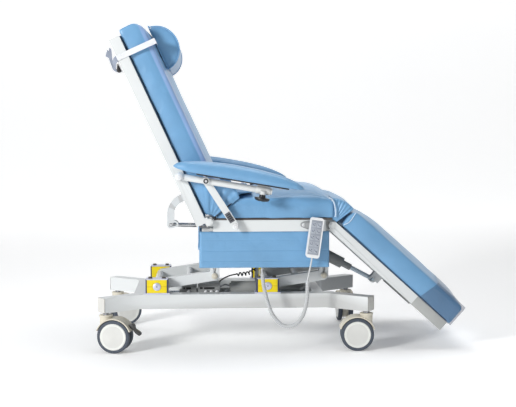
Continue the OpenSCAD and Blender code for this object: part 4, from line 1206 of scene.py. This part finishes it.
for material, ending, width in ((ivory, "housing", 1.6), (disc, "wheels", 0.8), (tyre, "tyres", 0.8)):
    FINISH.append((material, width, " ".join(corner + "_castor_" + ending for corner in CORNERS)))
for material, width, names in FINISH:
    for name in names.split():
        finish_node(name, material, width)
# the bearing plates: pale tops, dark blue sides, and steel screws above them
SCREWS_FROM, SIDES_FROM, SIDES_TO = 266.5, 212.5, 261.8
plates = nodes["bearing_plates"]
plates.data.materials.append(plate_navy)
plates.data.materials.append(steel_dark)
for f in plates.data.polygons:
    c = (plates.matrix_world @ f.center) / MM
    if c.z > SCREWS_FROM:
        f.material_index = 2
    elif SIDES_FROM < c.z < SIDES_TO:
        f.material_index = 1


# ---- studio ----

def studio():
    """Curved white paper that glows a little more with distance, three lamps and a dim world."""
    paper = surface("studio_paper", (250, 250, 250), 0.9, (300, 0.1, 0.2), (1.5, 0.004))
    tree = paper.node_tree
    link = tree.links.new
    shader = tree.nodes["Principled BSDF"]
    shader.inputs["Emission Color"].default_value = (1, 1, 1, 1)
    place = node(tree, "NewGeometry")
    parts = node(tree, "SeparateXYZ")
    glow = node(tree, "MapRange", From_Min=0.4, From_Max=5.5, To_Min=0.17, To_Max=0.50)
    glow.interpolation_type = "SMOOTHSTEP"
    link(place.outputs["Position"], parts.inputs[0])
    depth = node(tree, "Math")
    depth.operation = "ABSOLUTE"
    link(parts.outputs["Y"], depth.inputs[0])
    link(depth.outputs[0], glow.inputs["Value"])
    link(glow.outputs[0], shader.inputs["Emission Strength"])
    profile = [(-9, 0), (6, 0)]
    for k in range(1, 13):
        a = math.radians(k * 7.5)
        profile.append((6 + 3 * math.sin(a), 3 - 3 * math.cos(a)))
    profile.append((9, 9))
    verts = [(x * 1000, y * 1000, z * 1000) for y, z in profile for x in (-14, 14)]
    faces = [(2 * i, 2 * i + 1, 2 * i + 3, 2 * i + 2) for i in range(len(profile) - 1)]
    mesh_object("studio_paper", verts, faces, paper)
    world = bpy.data.worlds.new("studio")
    scene.world = world
    world.use_nodes = True
    bg = world.node_tree.nodes["Background"]
    bg.inputs["Color"].default_value = (0.95, 0.975, 1, 1)
    bg.inputs["Strength"].default_value = 0.24
    for name, loc, aim, size, power in (
            ("key", (-3.9, -3.9, 2.1), (0, 0, 0.5), (1.1, 1.1), 225),
            ("top", (0.3, 0.2, 3.4), (0, 0, 0.4), (3.0, 2.0), 58),
            ("right", (3.6, 0.4, 2.4), (0, 0, 0.6), (1.4, 1.4), 8)):
        data = bpy.data.lights.new(name, "AREA")
        data.shape = "RECTANGLE"
        data.size, data.size_y = size
        data.energy = power
        lamp = bpy.data.objects.new(name, data)
        scene.collection.objects.link(lamp)
        lamp.location = loc
        lamp.rotation_euler = (Vector(aim) - Vector(loc)).to_track_quat("-Z", "Y").to_euler()
    scene.view_settings.view_transform = "Standard"


studio()
